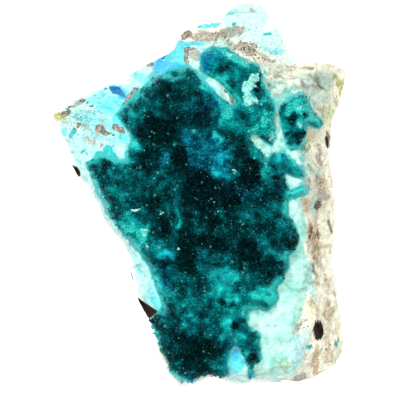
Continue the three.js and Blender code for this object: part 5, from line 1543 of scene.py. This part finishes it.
def rock_material(colours):
    """Pale broken rock: cream with tan and grey clouds, with painted shade in its hollows, thin
    upright streaks on the right flank, specks, the coloured patches over it, painted glare on its
    rims and painted shade in its pits."""
    material, tree, shader = new_material(
        "broken_rock", Roughness=0.85, Specular_IOR_Level=0.2,
    )
    colour = grouped(tree, "mottle", colours.cream, colours.tan, grain=1.1, contrast=0.1)
    # painted shade: darker in the rock's hollows
    colour = blend_by(tree, colour, "hollow", 0.4, colours.hollow_shade)
    stretched = add_node(tree, "ShaderNodeMapping", {
        "Vector": object_place(tree), "Scale": (1.0, 0.14, 0.5), "Rotation": (0, 0, 0.05),
    }).outputs["Vector"]
    streak = step_between(tree, noise(tree, per_metre(0.36), 4.0, 0.7, stretched), 0.54, 0.63)
    on_flank = times(tree, streak, attribute(tree, "flank"))
    colour = blend_colour(tree, times(tree, on_flank, 0.45), colour, colours.streak)
    colour = add_stains(tree, colour, colours)
    colour = grouped(tree, "shade", colour, grain=0.55, amount=0.42)
    colour = grouped(
        tree, "veins", colour, colours.vein, share=0.6, grain=2.6, width=0.009,
    )
    colour = add_specks(tree, colour, colours)
    # painted glare: white laid on the rims where the light washes them out
    colour = blend_by(tree, colour, "painted_glare", 0.95, colours.white)
    colour = blend_by(tree, colour, "crack", 0.7, colours.rock_crack, clamp=True)
    # painted shade: near-black in the pits and the notch
    deep = step_between(tree, attribute(tree, "pit"), 0.1, 0.5)
    plug(tree, shader.inputs["Base Color"], blend_colour(tree, deep, colour, colours.pit))
    bump(tree, shader, 0.35, grain=0.5, pitted=0.35)
    return material


def coat_material(colours):
    """Waxy chrysocolla: mint on the right and pale cyan on the left, bluer next to the
    druse, giving way to rock at its thin edge, with dark cracks and the patches, painted glare on
    its rims, and painted shade in its pits and deepest cracks."""
    material, tree, shader = new_material("chrysocolla", Specular_IOR_Level=0.22)
    mint = grouped(tree, "mottle", colours.mint, colours.mint_deep, grain=3.2, contrast=0.16)
    pale = grouped(tree, "mottle", colours.ice, colours.ice_deep, grain=2.2, contrast=0.14)
    colour = blend_colour(tree, attribute(tree, "left"), mint, pale)
    thin = grouped(
        tree, "ragged", mask=attribute(tree, "thin"), grain=0.8, raggedness=0.5, softness=0.2,
    )
    rocky = grouped(tree, "mottle", colours.cream, colours.tan, grain=1.5, contrast=0.14)
    colour = blend_colour(tree, times(tree, thin, 0.85), colour, rocky)
    colour = add_stains(tree, colour, colours)
    amount = calculate(tree, "MULTIPLY_ADD", attribute(tree, "left"), 0.1, 0.42)
    colour = grouped(tree, "shade", colour, grain=1.0, amount=amount)
    colour = grouped(
        tree, "veins", colour, colours.crack, share=0.45, grain=3.0, width=0.008,
    )
    colour = add_specks(tree, colour, colours)
    # painted glare: white laid on the rims where the light washes them out
    colour = blend_by(tree, colour, "painted_glare", 0.95, colours.white)
    film = times(tree, attribute(tree, "film"), 0.95)
    colour = grouped(
        tree, "stain", colour, colours.film, mask=film, grain=0.6, raggedness=0.5,
        softness=0.25, patchiness=0.12,
    )
    colour = blend_by(tree, colour, "crack", 0.7, colours.crack, clamp=True)
    # painted shade: near-black in the deepest cracks and in the pits
    for name, low, high in (("crack", 0.9, 1.4), ("pit", 0.1, 0.5)):
        deep = step_between(tree, attribute(tree, name), low, high)
        colour = blend_colour(tree, deep, colour, colours.pit)
    plug(tree, shader.inputs["Base Color"], colour)
    rough = calculate(tree, "MULTIPLY_ADD", noise(tree, per_metre(1.2)), 0.3, 0.32)
    plug(tree, shader.inputs["Roughness"], rough)
    bump(tree, shader, 0.2, grain=1.3, pitted=0.12)
    return material


def dioptase_material(colours):
    """Glassy crystals from black-green to cyan. The level is the druse's own light plus
    each crystal's chance, plus painted light that is a little more at its tip, with painted
    shade at its foot. A few crystals carry a painted glint."""
    material, tree, shader = new_material(
        "dioptase", IOR=1.66, Specular_IOR_Level=0.045, Specular_Tint=(0.2, 1.0, 0.95),
    )
    light, tint = attribute(tree, "light"), attribute(tree, "tint")
    paleness = step_between(tree, light, 0.4, 0.85)
    spread = calculate(tree, "MULTIPLY_ADD", paleness, -0.2, 0.27)
    chance = times(tree, calculate(tree, "SUBTRACT", tint, 0.5), spread)
    # painted light: a little lighter towards each crystal's tip, darker in the shade at its foot
    painted_tip_light = times(tree, attribute(tree, "tip"), 0.08)
    level = calculate(tree, "ADD", light, calculate(tree, "ADD", chance, painted_tip_light))
    green = ramp(tree, level, (
        (0.0, colours.crystal_dark), (0.3, colours.crystal_deep), (0.6, colours.crystal_teal),
        (0.88, colours.crystal_cyan), (1.0, colours.crystal_pale),
    ))
    blue = ramp(tree, level, (
        (0.0, colours.crystal_dark), (0.35, colours.crystal_blue), (0.9, colours.crystal_sky),
    ))
    colour = blend_by(tree, green, "blue", 0.85, blue)
    pale = grouped(
        tree, "ragged", mask=attribute(tree, "pale"), grain=0.6, raggedness=0.4, softness=0.15,
    )
    waxy = grouped(tree, "shade", colours.wax, grain=0.6, amount=0.7)
    colour = blend_colour(tree, pale, colour, waxy)
    # painted highlight: a few crystals get a pale colour as if they caught the light
    painted_glint = times(tree, step_between(tree, tint, 0.982, 0.99), 0.26)
    plug(tree, shader.inputs["Base Color"], blend_colour(tree, painted_glint, colour, colours.painted_glint))
    glossy = step_between(tree, tint, 0.45, 0.5)
    rough = calculate(tree, "MULTIPLY_ADD", glossy, -0.28, 0.44)
    rough = calculate(tree, "MULTIPLY_ADD", pale, 0.3, rough)
    plug(tree, shader.inputs["Roughness"], rough)
    return material


# ------------------------------------------------------------ settings
def colour_property(name, description, default):
    """A colour that a user may change."""
    return bpy.props.FloatVectorProperty(
        name=name, description=description, default=default, subtype="COLOR", size=3,
        min=0.0, max=1.0,
    )


def count_property(name, description, default, least, most):
    """A number of cells."""
    return bpy.props.IntProperty(
        name=name, description=description, default=default, min=least, max=most,
    )


def length_property(name, description, default, least):
    """A length, given here in millimetres."""
    return bpy.props.FloatProperty(
        name=name, description=description, default=default * MM, min=least * MM,
        precision=5, unit="LENGTH",
    )


def factor_property(name, description, default, least, most):
    """A plain number."""
    return bpy.props.FloatProperty(
        name=name, description=description, default=default, min=least, max=most,
        subtype="FACTOR",
    )


def power_property(name, description, default):
    """The power of a light, in watts."""
    return bpy.props.FloatProperty(
        name=name, description=description, default=default, min=0.0, unit="POWER",
    )


class SpecimenSizes(bpy.types.PropertyGroup):
    """Sizes and densities of the specimen's surfaces."""

    rock_cells: count_property(
        "Rock cells", "Cells along the grid of the rock's upper face", 168, 20, 180)
    rock_side_rows: count_property(
        "Rock side rows", "Rows of cells down the rock's side", 36, 4, 48)
    coat_cells: count_property(
        "Coat cells", "Cells along the grid of the chrysocolla coat", 290, 40, 310)
    crust_pitch: length_property(
        "Crust pitch", "Distance between the points of the druses' crust", 0.3, 0.2)
    crystal_spacing: length_property(
        "Crystal spacing", "Distance between neighbouring crystals", 0.3, 0.28)
    crystal_width: length_property(
        "Crystal width", "Usual width of a crystal, corner to corner", 0.37, 0.1)
    crystal_slimness: factor_property(
        "Crystal slimness", "Usual length of a crystal over half its width", 3.4, 1.5, 6.0)
    crystal_lean: factor_property(
        "Crystal lean", "How far crystals lean, as the tangent of the angle", 0.62, 0.0, 1.0)


class SpecimenColours(bpy.types.PropertyGroup):
    """Colours of the specimen's minerals."""

    crystal_dark: colour_property(
        "Dark crystal", "The darkest crystals", (0.0001, 0.0016, 0.0022))
    crystal_deep: colour_property("Deep crystal", "Most crystals", (0.0005, 0.018, 0.0205))
    crystal_teal: colour_property(
        "Teal crystal", "Crystals of the lighter zones", (0.001, 0.085, 0.094))
    crystal_cyan: colour_property("Cyan crystal", "Crystals along the rims", (0.002, 0.24, 0.225))
    crystal_pale: colour_property("Pale crystal", "The palest crystals", (0.02, 0.38, 0.34))
    crystal_blue: colour_property(
        "Blue crystal", "Crystals of the blue zones", (0.001, 0.04, 0.09))
    crystal_sky: colour_property("Sky crystal", "The palest blue crystals", (0.004, 0.24, 0.38))
    # painted highlight: the pale colour of the few crystals painted as glints
    painted_glint: colour_property("Glint", "The few crystals that catch the light", (0.12, 0.45, 0.38))
    mint: colour_property("Mint", "Chrysocolla on the right", (0.3, 0.5, 0.425))
    mint_deep: colour_property("Deep mint", "Its deeper clouds", (0.18, 0.43, 0.365))
    wax: colour_property("Wax", "Chrysocolla in the druses", (0.19, 0.48, 0.43))
    ice: colour_property("Ice", "Chrysocolla on the left", (0.235, 0.51, 0.49))
    ice_deep: colour_property("Deep ice", "Its deeper clouds", (0.13, 0.45, 0.46))
    frost: colour_property("Frost", "Pale bloom on the rock", (0.33, 0.55, 0.535))
    # painted glare on the rims, where the light washes them out
    white: colour_property("White", "Bleached rims", (0.82, 0.82, 0.81))
    film: colour_property("Film", "The film round the druses", (0.01, 0.29, 0.29))
    cyan: colour_property("Cyan", "Cyan patches", (0.04, 0.43, 0.48))
    sky: colour_property("Sky", "Sky blue patches", (0.015, 0.3, 0.5))
    deep_blue: colour_property("Deep blue", "Deep blue patches", (0.0, 0.09, 0.28))
    turquoise: colour_property("Turquoise", "Turquoise patches", (0.0, 0.29, 0.28))
    brown: colour_property("Brown", "Brown patches", (0.23, 0.22, 0.185))
    umber: colour_property("Umber", "Iron-stained fillings", (0.2, 0.165, 0.115))
    rust: colour_property("Rust", "Rusty patches", (0.36, 0.265, 0.16))
    grey_brown: colour_property("Grey brown", "Larger specks", (0.28, 0.24, 0.17))
    vein: colour_property("Vein", "Thin lines in the rock", (0.26, 0.25, 0.2))
    sea: colour_property("Sea green", "Thin crust beside the druses", (0.09, 0.32, 0.28))
    olive: colour_property("Olive", "Olive patches", (0.3, 0.3, 0.06))
    grey_green: colour_property("Grey green", "Grey green patches", (0.31, 0.48, 0.41))
    pink: colour_property("Pink", "Pinkish patches", (0.4, 0.31, 0.26))
    cream: colour_property("Cream", "Most of the rock", (0.72, 0.71, 0.57))
    tan: colour_property("Tan", "Its darker clouds", (0.53, 0.52, 0.4))
    # painted shade of the rock's hollows
    hollow_shade: colour_property("Brown grey", "The rock's hollows", (0.32, 0.3, 0.25))
    streak: colour_property("Streak", "Streaks of the right flank", (0.44, 0.33, 0.23))
    dark: colour_property("Specks", "Specks in the rock", (0.07, 0.06, 0.05))
    crack: colour_property("Crack", "Cracks in the chrysocolla", (0.1, 0.26, 0.23))
    rock_crack: colour_property("Rock crack", "Cracks in the rock", (0.12, 0.11, 0.08))
    # painted shade in the pits, the notch and the deepest cracks
    pit: colour_property("Pit", "Deep pits", (0.035, 0.022, 0.016))

class SpecimenLight(bpy.types.PropertyGroup):
    """The studio round the specimen."""

    key_power: power_property("Key power", "Power of the compact light", 4.0)
    fill_power: power_property("Fill power", "Power of each broad light", 5.2)
    room: factor_property("Room", "Brightness of the room", 0.1, 0.0, 2.0)
    floor_glow: factor_property(
        "Floor glow", "Light of the floor's own, which thins the shadow", 0.35, 0.0, 2.0)


# ------------------------------------------------------------ operators
MATERIALS = {}


def shared_material(make):
    """One material for all the pieces of a mineral. The first one makes the groups."""
    if not GROUPS:
        for name, make_group in GROUP_MAKERS.items():
            GROUPS[name] = make_group()
    if make not in MATERIALS:
        MATERIALS[make] = make(bpy.context.scene.specimen_colours)
    return MATERIALS[make]


def build_druse(label, shape, halves, node):
    """A druse's crust, and its crystals: one piece of them for each name and half."""
    sizes = bpy.context.scene.specimen_sizes
    material = shared_material(dioptase_material)
    build_crust(f"{label}_crust", *shape, sizes.crust_pitch / MM, material, node)
    for name, half in halves.items():
        build_crystals(name, *shape, sizes, half, material, node)


class SPECIMEN_OT_rock(bpy.types.Operator):
    """Build the broken rock"""

    bl_idname = "specimen.rock"
    bl_label = "Rock"

    def execute(self, context):
        build_rock(context.scene.specimen_sizes, shared_material(rock_material))
        return {"FINISHED"}


class SPECIMEN_OT_coat(bpy.types.Operator):
    """Build the chrysocolla coat"""

    bl_idname = "specimen.coat"
    bl_label = "Chrysocolla"

    def execute(self, context):
        build_coat(context.scene.specimen_sizes, shared_material(coat_material))
        return {"FINISHED"}


class SPECIMEN_OT_druse(bpy.types.Operator):
    """Build the main druse: its crust, and its crystals in two pieces"""

    bl_idname = "specimen.druse"
    bl_label = "Main druse"

    def execute(self, context):
        shape = (DRUSE_OUTLINE, DRUSE_LUMPS, DRUSE_COLOURING)
        halves = {"druse_crystals_1": 0, "druse_crystals_2": 1}
        build_druse("druse", shape, halves, "dioptase_druse")
        return {"FINISHED"}


class SPECIMEN_OT_pocket(bpy.types.Operator):
    """Build the pocket's druse: its crust and its crystals"""

    bl_idname = "specimen.pocket"
    bl_label = "Pocket druse"

    def execute(self, context):
        shape = (POCKET_OUTLINE, POCKET_LUMPS, POCKET_COLOURING)
        build_druse("pocket", shape, {"pocket_crystals": None}, "dioptase_pocket_druse")
        return {"FINISHED"}


def add_area_light(name, place, size, power):
    """A round light that points at the specimen's middle, and that the camera can't see."""
    light = bpy.data.lights.new(name, "AREA")
    light.shape, light.size, light.energy = "DISK", size, power
    lamp = bpy.data.objects.new(name, light)
    lamp.location = place
    toward = mathutils.Vector(LIGHT_AIM) - mathutils.Vector(place)
    lamp.rotation_euler = toward.to_track_quat("-Z", "Y").to_euler()
    lamp.visible_camera = False
    bpy.context.scene.collection.objects.link(lamp)


def add_floor(glow):
    """A wide white disc under the specimen, from points round its middle."""
    angle = np.linspace(0, 2 * math.pi, FLOOR_SIDES, endpoint=False)
    points = FLOOR_RADIUS * np.stack([np.cos(angle), np.sin(angle), 0 * angle], axis=1)
    mesh = bpy.data.meshes.new("floor")
    mesh.from_pydata(points.tolist(), [], [list(range(FLOOR_SIDES))])
    material, _, _ = new_material(
        "floor_paper", Roughness=0.9, Specular_IOR_Level=0.1, Base_Color=FLOOR_WHITE,
        Emission_Color=WHITE, Emission_Strength=glow,
    )
    mesh.materials.append(material)
    floor = bpy.data.objects.new("floor", mesh)
    bpy.context.scene.collection.objects.link(floor)


def add_camera():
    """A long lens straight above, which takes in the view's width at the crystals."""
    camera = bpy.data.cameras.new("camera")
    camera.lens, camera.sensor_width = LENS, SENSOR
    camera.clip_start, camera.clip_end = NEAREST, FARTHEST
    eye = bpy.data.objects.new("camera", camera)
    height = VIEW_HEIGHT + LENS * VIEW_WIDTH / SENSOR
    eye.location = (VIEW_MIDDLE[0] * MM, VIEW_MIDDLE[1] * MM, height * MM)
    bpy.context.scene.collection.objects.link(eye)
    bpy.context.scene.camera = eye


def set_world(room):
    """A dim room for the light, and a white one where the camera sees past the floor."""
    world = bpy.data.worlds.new("room")
    world.use_nodes = True
    tree = world.node_tree
    tree.nodes.clear()
    seen = add_node(tree, "ShaderNodeLightPath").outputs["Is Camera Ray"]
    dim, white = (
        add_node(tree, "ShaderNodeBackground", {"Color": WHITE, "Strength": strength}).outputs[0]
        for strength in (room, 1.0)
    )
    mixed = add_node(tree, "ShaderNodeMixShader", {0: seen, 1: dim, 2: white})
    add_node(tree, "ShaderNodeOutputWorld", {"Surface": mixed.outputs[0]})
    bpy.context.scene.world = world


class SPECIMEN_OT_stage(bpy.types.Operator):
    """Set up the floor, the lights, the room and the camera"""

    bl_idname = "specimen.stage"
    bl_label = "Stage"

    def execute(self, context):
        light = context.scene.specimen_light
        add_floor(light.floor_glow)
        add_area_light("key_light", KEY_PLACE, KEY_SIZE, light.key_power)
        for number, place in enumerate(FILL_PLACES, 1):
            add_area_light(f"fill_light_{number}", place, FILL_SIZE, light.fill_power)
        set_world(light.room)
        add_camera()
        context.scene.view_settings.view_transform = "Standard"
        return {"FINISHED"}


class SPECIMEN_PT_panel(bpy.types.Panel):
    """The specimen's operators and settings"""

    bl_idname = "SPECIMEN_PT_panel"
    bl_label = "Dioptase specimen"
    bl_space_type = "VIEW_3D"
    bl_region_type = "UI"
    bl_category = "Specimen"

    def draw(self, context):
        for operator in BUILD_ORDER:
            self.layout.operator(operator.bl_idname)
        for name in SETTINGS:
            box = self.layout.box()
            group = getattr(context.scene, name)
            for key in group.bl_rna.properties.keys()[OWN_PROPERTIES:]:
                box.prop(group, key)


BUILD_ORDER = (
    SPECIMEN_OT_stage, SPECIMEN_OT_rock, SPECIMEN_OT_coat, SPECIMEN_OT_druse,
    SPECIMEN_OT_pocket,
)
SETTINGS = {
    "specimen_sizes": SpecimenSizes,
    "specimen_colours": SpecimenColours,
    "specimen_light": SpecimenLight,
}


def register():
    for group in SETTINGS.values():
        bpy.utils.register_class(group)
    for name, group in SETTINGS.items():
        setattr(bpy.types.Scene, name, bpy.props.PointerProperty(type=group))
    for operator in BUILD_ORDER:
        bpy.utils.register_class(operator)
    bpy.utils.register_class(SPECIMEN_PT_panel)


def unregister():
    bpy.utils.unregister_class(SPECIMEN_PT_panel)
    for operator in reversed(BUILD_ORDER):
        bpy.utils.unregister_class(operator)
    for name, group in SETTINGS.items():
        delattr(bpy.types.Scene, name)
        bpy.utils.unregister_class(group)


def main():
    """Builds everything."""
    register()
    bpy.ops.specimen.stage()
    bpy.ops.specimen.rock()
    bpy.ops.specimen.coat()
    bpy.ops.specimen.druse()
    bpy.ops.specimen.pocket()


if __name__ == "__main__":
    main()
